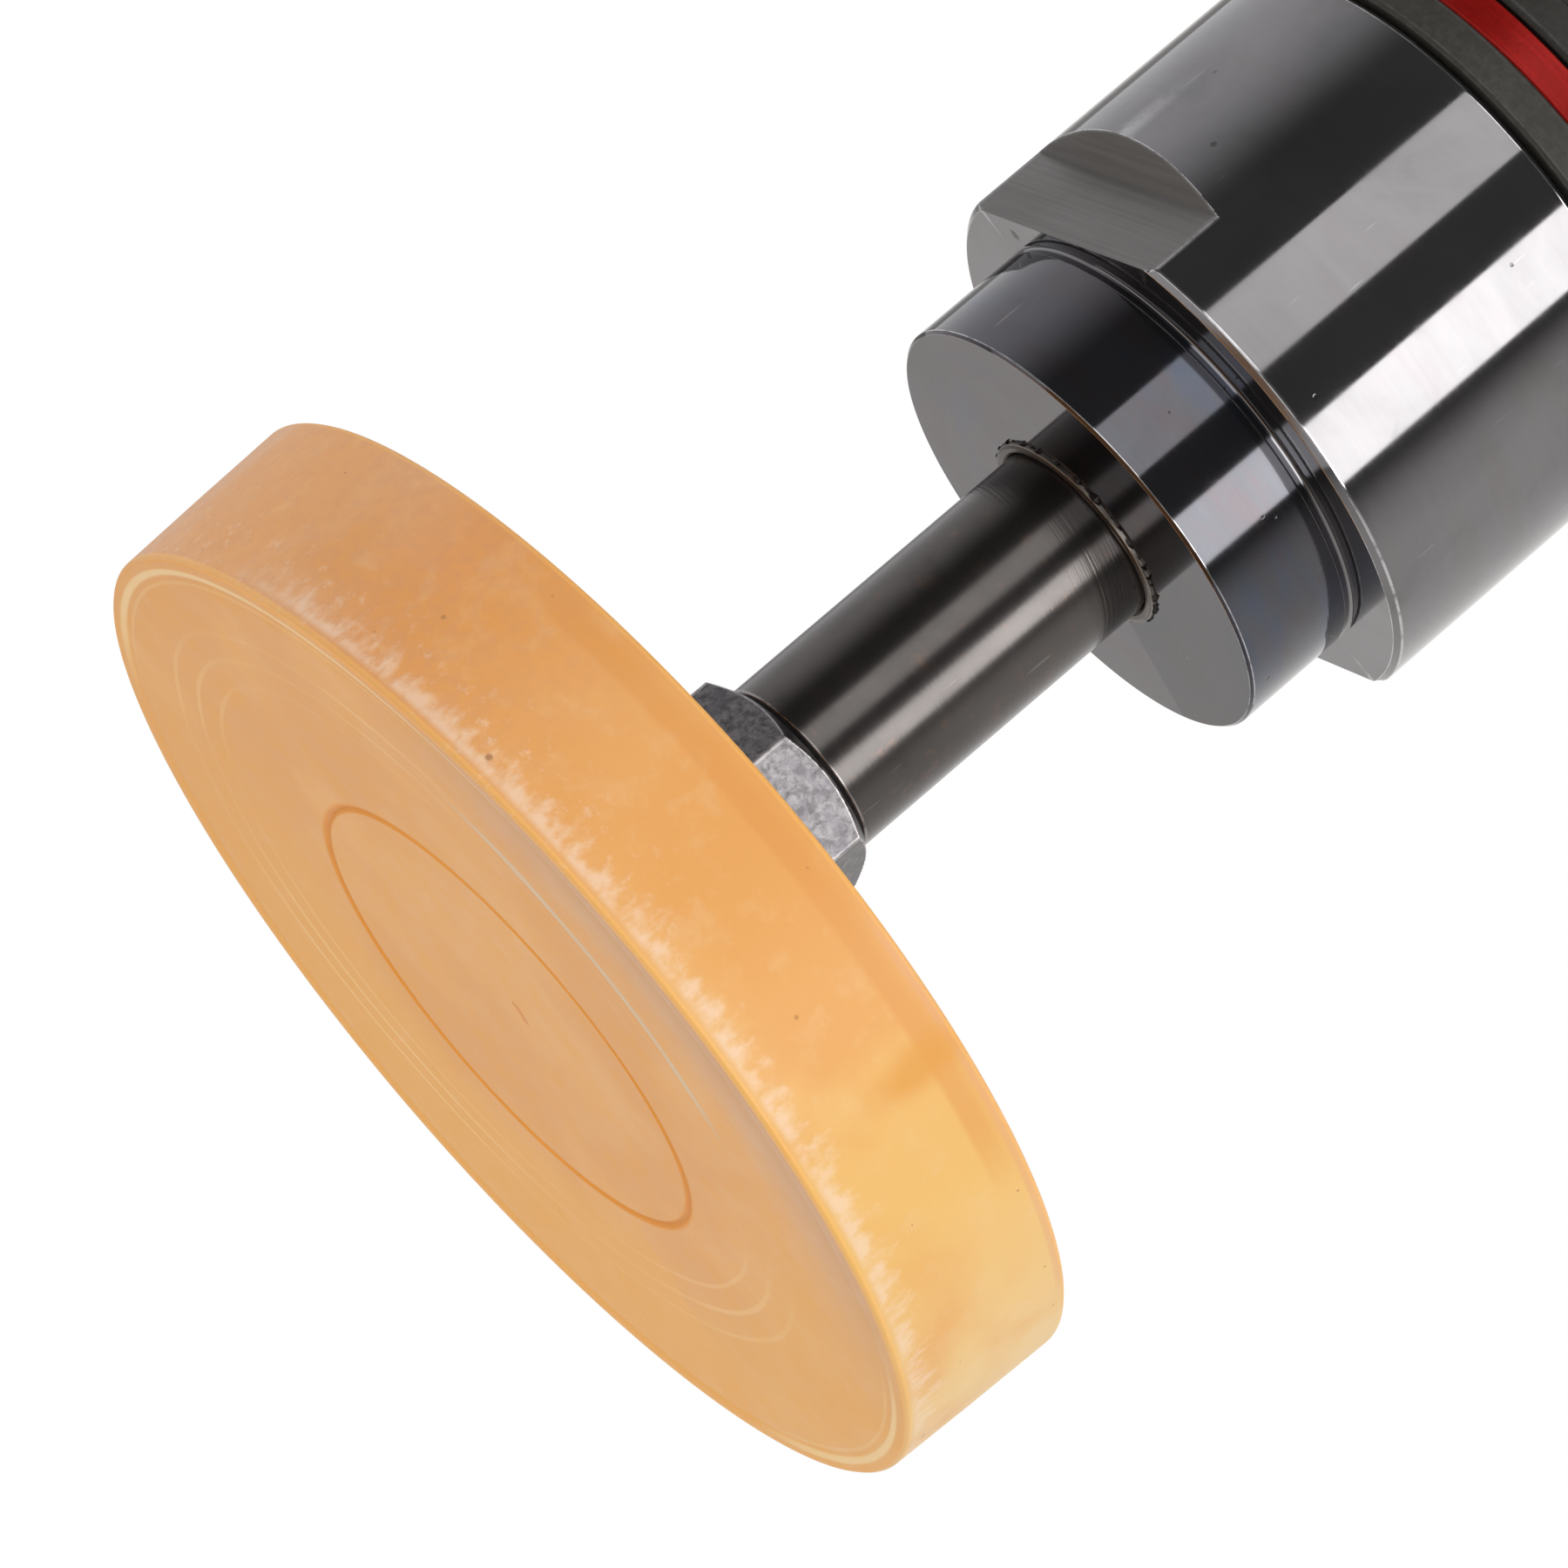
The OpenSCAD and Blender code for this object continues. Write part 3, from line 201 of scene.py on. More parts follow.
def fine_scratches():
    """Thin hairline scratches in two directions."""
    tree, b, given, out = node_group(
        "Fine scratches", "ShaderNodeTree",
        [("Vector", VECTOR, None), ("Amount", FLOAT, 0.5)], [("Mask", FLOAT)])
    masks = []
    for turn, seed in ((0.5, 3.0), (-0.9, 11.0), (1.9, 23.0)):
        turned = b.node("ShaderNodeMapping", {
            "Vector": given["Vector"], "Location": (seed, seed * 0.7, 0.0),
            "Rotation": (turn, turn * 0.6, turn), "Scale": (190.0, 2300.0, 2300.0)}).outputs[0]
        hair = b.noise(turned, 1.0, 1.0, 0.4)
        where = b.noise(b.vector("MULTIPLY", given["Vector"], (90.0, 90.0, 90.0)), 1.0 + turn * 0.1, 2.0)
        hair = b.step(hair, 0.74, 0.80)
        masks.append(b.math("MULTIPLY", hair, b.step(where, 0.5, 0.62)))
    whole = b.math("MAXIMUM", b.math("MAXIMUM", masks[0], masks[1]), masks[2])
    b.feed(out["Mask"], b.math("MULTIPLY", whole, given["Amount"], clamp=True))
    return tree


def smudges():
    """Soft oily patches and stains."""
    tree, b, given, out = node_group(
        "Smudges", "ShaderNodeTree",
        [("Vector", VECTOR, None), ("Size", FLOAT, 90.0)], [("Patch", FLOAT), ("Stain", FLOAT)])
    soft = b.noise(given["Vector"], given["Size"], 4.0, 0.55, 0.6)
    b.feed(out["Patch"], b.step(soft, 0.38, 0.66))
    fine = b.noise(given["Vector"], b.math("MULTIPLY", given["Size"], 3.1), 5.0, 0.6, 1.1)
    b.feed(out["Stain"], b.math("MULTIPLY", b.step(fine, 0.55, 0.72), b.step(soft, 0.45, 0.6)))
    return tree


def pinholes():
    """Scattered round specks of a given size in millimetres."""
    tree, b, given, out = node_group(
        "Pinholes", "ShaderNodeTree",
        [("Vector", VECTOR, None), ("Spacing", FLOAT, 4.0), ("Size", FLOAT, 0.2), ("Share", FLOAT, 0.4)],
        [("Mask", FLOAT)])
    per_metre = b.math("DIVIDE", 1000.0, given["Spacing"])
    cells = b.node("ShaderNodeTexVoronoi", {"Vector": given["Vector"], "Scale": per_metre,
                                            "Randomness": 1.0})
    away = b.math("MULTIPLY", cells.outputs["Distance"], given["Spacing"])
    chance = b.split(cells.outputs["Color"])
    size = b.math("MULTIPLY", given["Size"], b.math("ADD", chance[1], 0.45))
    hole = b.step(away, size, b.math("MULTIPLY", size, 0.35), 0.0, 1.0)
    b.feed(out["Mask"], b.math("MULTIPLY", hole, b.math("LESS_THAN", chance[0], given["Share"])))
    return tree


def edge_wear_and_hollow_shade():
    """Bright broken wear along turned edges, and painted shade in inside corners, from the piece's own edge
    attribute.
    """
    tree, b, given, out = node_group(
        "Edge wear and hollow shade", "ShaderNodeTree",
        [("Vector", VECTOR, None), ("Amount", FLOAT, 0.8)], [("Mask", FLOAT), ("Hollow Shade", FLOAT)])
    edge = b.node("ShaderNodeAttribute", attribute_name="edge").outputs["Fac"]
    broken = b.noise(given["Vector"], 420.0, 4.0, 0.7)
    worn = b.math("MULTIPLY", b.step(edge, 0.25, 0.8), b.step(broken, 0.3, 0.55))
    b.feed(out["Mask"], b.math("MULTIPLY", worn, given["Amount"], clamp=True))
    b.feed(out["Hollow Shade"], b.step(edge, -0.2, -0.8))
    return tree


GROUPS = {}
for build in (turned_places, turning_marks, fine_scratches, smudges, pinholes, edge_wear_and_hollow_shade):
    tree = build()
    GROUPS[tree.name] = tree


# ---------------------------------------------------------------- materials

def start_material(name, **shader_values):
    """A new material: (material, bench, shader, object coordinates)."""
    made = bpy.data.materials.new(name)
    made.use_nodes = True
    made.node_tree.nodes.clear()
    b = Bench(made.node_tree)
    shader = b.node("ShaderNodeBsdfPrincipled")
    for label, value in shader_values.items():
        shader.inputs[label.replace("_", " ")].default_value = value
    surface = b.node("ShaderNodeOutputMaterial")
    b.tree.links.new(shader.outputs[0], surface.inputs["Surface"])
    place = b.node("ShaderNodeTexCoord").outputs["Object"]
    return made, b, shader, place


def effect(b, name, place, **values):
    """One of the shared effects placed in a material, as its outputs."""
    made = b.node("ShaderNodeGroup", node_tree=GROUPS[name])
    b.feed(made.inputs["Vector"], place)
    for label, value in values.items():
        made.inputs[label.replace("_", " ")].default_value = value
    return made.outputs


def raise_surface(b, shader, height, distance):
    bump = b.node("ShaderNodeBump", {"Height": height, "Distance": distance, "Strength": 1.0})
    b.feed(shader.inputs["Normal"], bump.outputs["Normal"])


def faded(colour, share):
    """The colour made darker, or lighter with a share above 1."""
    return tuple(share * c for c in colour[:3]) + (1,)


NOSE_SHADE = (0.49, 0.51, 0.55, 1)       # the nose is blacker than the housing behind it
FACE_SHADE = (0.85, 0.73, 0.71, 1)       # and its front face is browner
# Punch dot on the front face, then pits and stains: station, radius, angle, size, depth
HOUSING_MARKS = ((69.6, 20.5, -22, 0.62, 0.9), (60.6, 19.2, 126, 0.30, 0.8), (69.0, 19.1, 56, 0.16, 0.7),
                 (68.9, 19.1, 58.5, 0.14, 0.7), (81.0, 24.0, 19, 0.34, 0.45), (91.0, 24.0, 73, 0.20, 0.5),
                 (72.3, 24.0, 68, 0.18, 0.5), (86.5, 24.0, 4, 0.26, 0.35), (65.2, 19.2, 84, 0.16, 0.7),
                 (66.1, 19.2, 86, 0.14, 0.7), (64.4, 19.2, 52, 0.12, 0.6))


def blued_nose(b, base, place, tint):
    """Clouds of copper and blue on the nose, which is darker than the housing, and painted shade darkening
    its front face toward the underside.
    """
    places = effect(b, "Turned places", place)
    cloud = b.noise(places["Around"], 0.35, 3.0, 0.6, 0.5)
    nose = b.step(places["Station"], HOUSING_FRONT - 0.4, HOUSING_FRONT - 0.1, 1.0, 0.0)
    tinted = b.math("MULTIPLY", b.step(cloud, 0.45, 0.7), b.math("MULTIPLY_ADD", nose, 0.4, 0.1))
    base = b.mix(tinted, base, tint)
    blued = b.noise(places["Around"], 0.28, 2.0, 0.5, 0.3)
    base = b.mix(b.math("MULTIPLY", b.step(blued, 0.5, 0.68), b.math("MULTIPLY", nose, 0.5)), base,
                 (0.14, 0.17, 0.24, 1))
    base = b.mix(nose, base, NOSE_SHADE, blend="MULTIPLY")
    # Painted shade: the front face darkens to half toward the underside
    under = b.mix(b.step(places["Angle"], 50.0, 115.0), FACE_SHADE, faded(FACE_SHADE, 0.50))
    front = b.step(places["Station"], NOSE_FRONT + 0.1, NOSE_FRONT + 0.25, 1.0, 0.0)
    return b.mix(front, base, under, blend="MULTIPLY")


def milled_places(b, place):
    """A mask of the spanner flats and the shoulder behind them, with the cutter's lines."""
    x, y, z = b.split(place)[:3]
    height_mm = b.math("MULTIPLY", b.math("ABSOLUTE", z), 1000.0)
    flat = b.math("MULTIPLY", b.band(height_mm, FLAT_HALF, 0.03, 0.02), b.math(
        "LESS_THAN", b.math("MULTIPLY_ADD", x, 1000.0, float(GRIP_STATION)), FLAT_REAR + 0.05))
    shoulder = b.math("MULTIPLY", b.math("GREATER_THAN", b.math("ABSOLUTE", z), FLAT_HALF * MM), b.math(
        "LESS_THAN", effect(b, "Turned places", place)["Radius"], HOUSING_R - 0.03))
    shoulder = b.math("MULTIPLY", shoulder, b.math(
        "GREATER_THAN", b.math("MULTIPLY_ADD", x, 1000.0, float(GRIP_STATION)), FLAT_REAR - 0.1))
    lines = b.noise(b.vector("MULTIPLY", place, (4200.0, 60.0, 900.0)), 1.0, 3.0, 0.6)
    return b.math("MAXIMUM", flat, shoulder), lines


def pit_mask(b, place, at_station, at_radius, at_angle, size):
    """One ragged pit or stain, size in millimetres."""
    lean = math.radians(at_angle)
    out = Vector((0, -math.sin(lean), math.cos(lean))) * at_radius * MM
    spot = (metres_along(at_station), out.y, out.z)
    away = b.vector("LENGTH", b.vector("SUBTRACT", place, spot))
    ragged = b.math("MULTIPLY_ADD", b.noise(place, 1800.0, 3.0, 0.7), 0.7 * size * MM, 0.65 * size * MM)
    return b.step(away, b.math("MULTIPLY", ragged, 0.55), ragged, 1.0, 0.0)


def turned_steel(name, colour, roughness, bright=(0.62, 0.61, 0.62, 1), marks=7.0, slant=0.0,
                 wear=0.8, scratches=0.35, tint=None, mark_depth=0.0004, warm=0.0, milled=0.0, marked=()):
    """Machined steel: lathe rings, oily patches, hairline scratches, worn edges and painted shade in inside
    corners.
    """
    made, b, shader, place = start_material(name, Metallic=0.94)
    rings = effect(b, "Turning marks", place, Per_mm=marks, Slant=slant)
    oil = effect(b, "Smudges", place, Size=70.0)
    hair = effect(b, "Fine scratches", place, Amount=scratches)
    worn = effect(b, "Edge wear and hollow shade", place, Amount=wear)
    base = b.mix(oil["Patch"], colour, faded(colour, 0.80))
    base = b.mix(b.math("MULTIPLY", rings["Streak"], 0.35), base, faded(colour, 1.25))
    if tint is not None:
        base = blued_nose(b, base, place, tint)
    if warm:
        rust = b.noise(place, 520.0, 4.0, 0.7)
        base = b.mix(b.math("MULTIPLY", b.step(rust, 0.55, 0.7), warm), base, (0.15, 0.10, 0.08, 1))
    base = b.mix(b.math("MULTIPLY", oil["Stain"], 0.30), base, faded(colour, 0.5))
    base = b.mix(hair["Mask"], base, bright)
    base = b.mix(worn["Mask"], base, bright)
    # Painted shade: inside corners are darkened nearly to black
    base = b.mix(b.math("MULTIPLY", worn["Hollow Shade"], 0.6), base, (0.02, 0.02, 0.02, 1))
    rough = b.math("MULTIPLY_ADD", oil["Patch"], 0.03, roughness)
    rough = b.math("ADD", rough, b.math("MULTIPLY", rings["Streak"], 0.04))
    rough = b.math("ADD", rough, b.math("MULTIPLY", oil["Stain"], 0.02))
    height = b.math("SUBTRACT", rings["Height"], b.math("MULTIPLY", hair["Mask"], 0.6))
    if milled:
        cut, lines = milled_places(b, place)
        base = b.mix(b.math("MULTIPLY", cut, 0.8), base, b.mix(
            b.step(lines, 0.3, 0.72), (0.132, 0.126, 0.119, 1), (0.172, 0.165, 0.156, 1)))
        rough = b.math("ADD", rough, b.math("MULTIPLY", cut, milled))
        height = b.math("ADD", height, b.math("MULTIPLY", b.math("MULTIPLY", lines, cut), 1.6))
    for at_station, at_radius, at_angle, size, depth in marked:
        pit = pit_mask(b, place, at_station, at_radius, at_angle, size)
        base = b.mix(b.math("MULTIPLY", pit, depth), base, (0.035, 0.030, 0.027, 1))
        height = b.math("SUBTRACT", height, b.math("MULTIPLY", pit, 9.0 * depth))
    b.feed(shader.inputs["Base Color"], base)
    b.feed(shader.inputs["Roughness"], rough)
    raise_surface(b, shader, height, mark_depth * MM * 10)
    return made


def moulded_face(b, place, places, cloud, small_cloud):
    """Front face: caramel, with flow rings a little off centre. Gives its colour and the nick's mask."""
    radius, angle = places["Radius"], places["Angle"]
    face = b.mix(b.step(cloud, 0.38, 0.64), linear(222, 158, 88), linear(228, 168, 98))
    face = b.mix(b.math("MULTIPLY", b.step(small_cloud, 0.42, 0.7), 0.4), face, linear(230, 162, 76))
    far_side = b.step(angle, -20.0, -120.0, 0.0, 1.0)
    face = b.mix(b.math("MULTIPLY", far_side, b.step(radius, 20.0, 27.0)), face, linear(230, 166, 80))
    x, y, z = b.split(place)[:3]
    shift_y = b.math("MULTIPLY_ADD", y, 1000.0, -1.4)
    shift_z = b.math("MULTIPLY_ADD", z, 1000.0, -2.4)
    wobble = b.math("MULTIPLY_ADD", b.noise(place, 30.0, 2.0, 0.5), 2.4, -1.2)
    off_centre = b.math("ADD", wobble, b.math("SQRT", b.math(
        "ADD", b.math("MULTIPLY", shift_y, shift_y), b.math("MULTIPLY", shift_z, shift_z))))
    broken = b.step(b.noise(place, 26.0, 2.0, 0.5), 0.42, 0.62)
    near = b.band(angle, 82.0, 32.0, 30.0)
    away_from_near = b.math("MULTIPLY_ADD", near, -0.85, 1.0)
    for ring_r, half, share in ((34.0, 0.12, 0.6), (31.4, 0.12, 0.65), (28.8, 0.10, 0.4)):
        line = b.math("MULTIPLY", b.band(off_centre, ring_r, half, 0.22), b.math(
            "MULTIPLY", b.math("MULTIPLY_ADD", broken, 0.8, 0.2),
            b.math("MULTIPLY", away_from_near, share)))
        face = b.mix(line, face, linear(238, 200, 136))
    cool = b.math("MULTIPLY", b.step(radius, 33.0, 42.5), near)
    face = b.mix(b.math("MULTIPLY", cool, 0.75), face, linear(200, 158, 124))
    pale_line = b.math("MULTIPLY", b.band(off_centre, 32.9, 0.3, 0.4), b.band(angle, 62.0, 18.0, 16.0))
    face = b.mix(b.math("MULTIPLY", pale_line, 0.7), face, linear(206, 192, 166))
    high = b.band(angle, -8.0, 30.0, 26.0)
    low = b.band(angle, 150.0, 16.0, 18.0)
    yellower = b.math("MULTIPLY", b.band(angle, 150.0, 24.0, 30.0), b.step(radius, 24.0, 34.0))
    face = b.mix(b.math("MULTIPLY", yellower, 0.55), face, linear(228, 166, 74))
    # Painted highlight: the lip's ridges turn pale only near the top and low on the near side
    lip = b.math("ADD", b.band(radius, 42.6, 0.16, 0.3), b.math(
        "MULTIPLY", b.band(radius, 41.6, 0.06, 0.2), 0.35))
    face = b.mix(b.math("MULTIPLY", b.math("MULTIPLY", lip, b.math("ADD", high, low)), 0.75),
                 face, linear(238, 208, 152))
    groove = b.band(radius, 20.05, 0.34, 0.30)
    face = b.mix(b.math("MULTIPLY", groove, 0.95), face, linear(224, 146, 42))
    nick_y = b.math("MULTIPLY_ADD", y, 1000.0, 1.2)
    nick_z = b.math("MULTIPLY_ADD", z, 1000.0, -1.4)
    nick_r = b.math("SQRT", b.math("ADD", b.math("MULTIPLY", nick_y, nick_y), b.math(
        "MULTIPLY", nick_z, nick_z)))
    nick = b.math("MULTIPLY", b.band(nick_r, 2.0, 0.22, 0.25), b.math("GREATER_THAN", b.math(
        "SUBTRACT", b.math("MULTIPLY", nick_y, -1.0), b.math("ABSOLUTE", nick_z)), 0.6))
    nick = b.math("MULTIPLY", nick, b.step(radius, 5.5, 5.0, 0.0, 1.0))
    # Painted shade: the nick's crescent, its shaded side, is painted darker orange
    face = b.mix(b.math("MULTIPLY", nick, 0.9), face, linear(216, 132, 50))
    return face, nick


def rubbed_rim(b, place, places, cloud, small_cloud):
    """Rim: painted shade and light round it, darker pinkish brown on the lever's side and paler toward the
    far side, with orange clouds and pale flakes along its front edge.
    """
    station, angle = places["Station"], places["Angle"]
    round_rim = b.math("DIVIDE", b.math("ADD", angle, 180.0), 360.0)
    # Painted light and shade: round the rim the colour is darkest and pinkish brown on the lever's side,
    # palest on the far side
    rim = b.ramp(round_rim, [
        (0.00, linear(236, 192, 132)), (0.30, linear(232, 176, 118)), (0.42, linear(230, 168, 116)),
        (0.52, linear(228, 158, 98)), (0.56, linear(227, 146, 75)), (0.68, linear(236, 168, 90)),
        (0.78, linear(234, 176, 92)), (0.88, linear(238, 192, 122)), (1.00, linear(236, 192, 132))])
    warm_cloud = b.step(b.noise(place, 48.0, 3.0, 0.5, 0.6), 0.45, 0.68)
    rim = b.mix(b.math("MULTIPLY", warm_cloud, 0.6), rim, linear(226, 144, 60))
    rim = b.mix(b.math("MULTIPLY", b.step(small_cloud, 0.5, 0.75), 0.2), rim, linear(240, 196, 140))
    # Browner and more mottled on the lever's side
    mottle = b.noise(place, 900.0, 3.0, 0.65)
    mottled = b.math("MULTIPLY", b.step(mottle, 0.42, 0.62), b.band(angle, -4.0, 30.0, 26.0))
    rim = b.mix(b.math("MULTIPLY", mottled, 0.22), rim, linear(204, 138, 96))
    back_band = b.math("MULTIPLY", b.math("MULTIPLY", b.step(station, 12.0, 12.7), b.step(
        station, 13.6, 15.0, 1.0, 0.35)), b.band(angle, 66.0, 30.0, 12.0))
    rim = b.mix(b.math("MULTIPLY", back_band, 0.55), rim, linear(222, 140, 60))
    end_band = b.math("MULTIPLY", b.step(station, 14.4, 14.7), b.band(angle, 100.0, 22.0, 8.0))
    rim = b.mix(b.math("MULTIPLY", end_band, 0.5), rim, linear(226, 156, 104))
    smear_at = b.join(station, b.math("MULTIPLY", angle, 0.78), 0.0)
    smear_at = b.vector("SUBTRACT", smear_at, (11.0, 68.5, 0.0))
    smear_at = b.vector("MULTIPLY", smear_at, (0.42, 1.0, 1.0))
    smear = b.step(b.math("ADD", b.vector("LENGTH", smear_at), b.math(
        "MULTIPLY", b.math("SUBTRACT", cloud, 0.5), 3.0)), 2.7, 0.5, 0.0, 1.0)
    rim = b.mix(b.math("MULTIPLY", smear, 0.8), rim, linear(224, 146, 52))
    arc = b.math("MULTIPLY", angle, 0.77)
    # Clumps of pale flakes a little way in from the front edge, with crumbs beyond them
    clumps = b.noise(b.join(b.math("MULTIPLY", station, 0.7), arc, 0.0), 0.6, 3.0, 0.6)
    reach = b.math("MULTIPLY_ADD", clumps, 9.5, -2.3)
    flakes = b.math("MULTIPLY", b.step(b.math("SUBTRACT", reach, station), -0.9, 2.4),
                    b.step(station, 0.5, 1.2))
    scales = b.noise(b.join(station, arc, 5.0), 0.8, 3.0, 0.7, 0.1)
    tufts = b.math("MULTIPLY", b.step(scales, 0.54, 0.72), b.step(station, 9.0, 1.5, 0.0, 0.7))
    tufts = b.math("MULTIPLY", tufts, b.band(angle, 14.0, 36.0, 22.0))
    pale = b.math("MAXIMUM", b.math("MULTIPLY", flakes, b.band(angle, 78.0, 62.0, 20.0)), tufts)
    rim = b.mix(b.math("MULTIPLY", pale, 0.55), rim, linear(246, 210, 172))
    lines = b.math("MAXIMUM", b.band(station, 0.26, 0.14, 0.25), b.band(station, 15.32, 0.12, 0.25))
    rim = b.mix(b.math("MULTIPLY", lines, 0.5), rim, linear(250, 178, 84))
    return rim, pale, scales


def wheel_rubber():
    """Cloudy caramel rubber: moulded face with flow rings, rim with clouds and pale flakes."""
    made, b, shader, place = start_material("Cloudy caramel rubber", Specular_IOR_Level=0.3)
    places = effect(b, "Turned places", place)
    cloud = b.noise(place, 60.0, 3.0, 0.5, 0.4)
    small_cloud = b.noise(place, 340.0, 4.0, 0.6, 0.2)
    grain = b.noise(place, 2600.0, 2.0, 0.6)
    face, nick = moulded_face(b, place, places, cloud, small_cloud)
    rim, pale, scales = rubbed_rim(b, place, places, cloud, small_cloud)
    # Painted shade: the whole rim is made darker and less red than the face
    rim = b.mix(1.0, rim, (0.75, 0.86, 1.06, 1), blend="MULTIPLY")
    on_rim = b.step(places["Radius"], WHEEL_R - 0.28, WHEEL_R - 0.15)
    colour = b.mix(on_rim, face, rim)
    holes = effect(b, "Pinholes", place, Spacing=4.6, Size=0.27, Share=0.40)
    tiny = effect(b, "Pinholes", place, Spacing=2.1, Size=0.15, Share=0.3)
    dark = b.math("MAXIMUM", holes["Mask"], b.math("MULTIPLY", tiny["Mask"], 0.75))
    colour = b.mix(b.math("MULTIPLY", dark, 0.72), colour, linear(128, 82, 36))
    colour = b.mix(b.math("MULTIPLY", grain, 0.16), colour, linear(205, 148, 92))
    b.feed(shader.inputs["Base Color"], colour)
    rough = b.math("MULTIPLY_ADD", small_cloud, 0.22, 0.36)
    b.feed(shader.inputs["Roughness"], rough)
    height = b.math("ADD", b.math("MULTIPLY", grain, 0.25), b.math("MULTIPLY", small_cloud, 1.0))
    height = b.math("ADD", height, b.math("MULTIPLY", b.math("MULTIPLY", pale, on_rim), b.math(
        "MULTIPLY", scales, 1.6)))
    height = b.math("SUBTRACT", height, b.math("MULTIPLY", dark, 1.2))
    height = b.math("SUBTRACT", height, b.math("MULTIPLY", nick, 0.7))
    raise_surface(b, shader, height, 0.05 * MM)
    return made


def coated(name, colour, roughness, metallic=0.0, speckle=0.10, grain_size=1500.0, grain_depth=0.02,
           wear=0.35, under=(0.45, 0.45, 0.46, 1), rings=0.0, sheen=0.0, coat=0.0, specular=0.5):
    """Painted, anodised, moulded or rubber surface with fine grain, patches and worn edges."""
    made, b, shader, place = start_material(name, Metallic=metallic, Sheen_Weight=sheen, Coat_Weight=coat,
                                            Coat_Roughness=0.15, Specular_IOR_Level=specular)
    grain = b.noise(place, grain_size, 3.0, 0.6)
    patch = effect(b, "Smudges", place, Size=60.0)
    worn = effect(b, "Edge wear and hollow shade", place, Amount=wear)
    lighter = tuple(min(1.0, c * (1 + speckle * 3) + speckle * 0.02) for c in colour[:3]) + (1,)
    base = b.mix(b.step(grain, 0.35, 0.7), colour, lighter)
    base = b.mix(b.math("MULTIPLY", patch["Patch"], 0.35), base, faded(colour, 0.72))
    if rings:
        marks = effect(b, "Turning marks", place, Per_mm=9.0)
        base = b.mix(b.math("MULTIPLY", b.step(marks["Streak"], 0.45, 0.75), rings), base,
                     tuple(min(1.0, c * 1.9) for c in colour[:3]) + (1,))
        grain = b.math("ADD", grain, marks["Height"])
    base = b.mix(worn["Mask"], base, under)
    b.feed(shader.inputs["Base Color"], base)
    b.feed(shader.inputs["Roughness"], b.math("MULTIPLY_ADD", patch["Patch"], 0.08, roughness))
    raise_surface(b, shader, grain, grain_depth * MM)
    return made


def worn_hexagon():
    """Plated hexagon: bright, clouded and pitted on its flats, with bright wear at the edges."""
    made, b, shader, place = start_material("Mottled plated steel", Metallic=1.0)
    fine = b.noise(place, 1300.0, 5.0, 0.72, 0.4)
    broad = b.noise(place, 380.0, 3.0, 0.6, 0.8)
    brushed = b.noise(b.vector("MULTIPLY", place, (500.0, 2600.0, 2600.0)), 1.0, 3.0, 0.6)
    base = b.mix(b.step(fine, 0.32, 0.72), (0.076, 0.071, 0.073, 1), (0.248, 0.236, 0.242, 1))
    base = b.mix(b.math("MULTIPLY", b.step(broad, 0.45, 0.7), 0.55), base, (0.118, 0.112, 0.124, 1))
    worn = effect(b, "Edge wear and hollow shade", place, Amount=1.0)
    base = b.mix(worn["Mask"], base, (0.44, 0.41, 0.41, 1))
    b.feed(shader.inputs["Base Color"], base)
    b.feed(shader.inputs["Roughness"], b.math("MULTIPLY_ADD", fine, 0.28, 0.26))
    raise_surface(b, shader, b.math("ADD", b.math("ADD", fine, broad), b.math("MULTIPLY", brushed, 0.5)),
                  0.02 * MM)
    return made


def pressed_felt():
    made, b, shader, place = start_material("Pressed felt", Roughness=0.95, Sheen_Weight=0.4)
    fibres = b.noise(b.vector("MULTIPLY", place, (1400.0, 2600.0, 1900.0)), 1.0, 5.0, 0.75, 1.5)
    b.feed(shader.inputs["Base Color"], b.mix(fibres, (0.34, 0.32, 0.27, 1), (0.62, 0.60, 0.54, 1)))
    raise_surface(b, shader, fibres, 0.15 * MM)
    return made


def laminate():
    made, b, shader, place = start_material("Laminated cotton resin", Roughness=0.42)
    weave = b.node("ShaderNodeTexWave", {"Vector": place, "Scale": 900.0, "Distortion": 1.5},
                   wave_type="BANDS").outputs["Fac"]
    b.feed(shader.inputs["Base Color"], b.mix(weave, (0.16, 0.07, 0.03, 1), (0.30, 0.14, 0.06, 1)))
    raise_surface(b, shader, weave, 0.02 * MM)
    return made


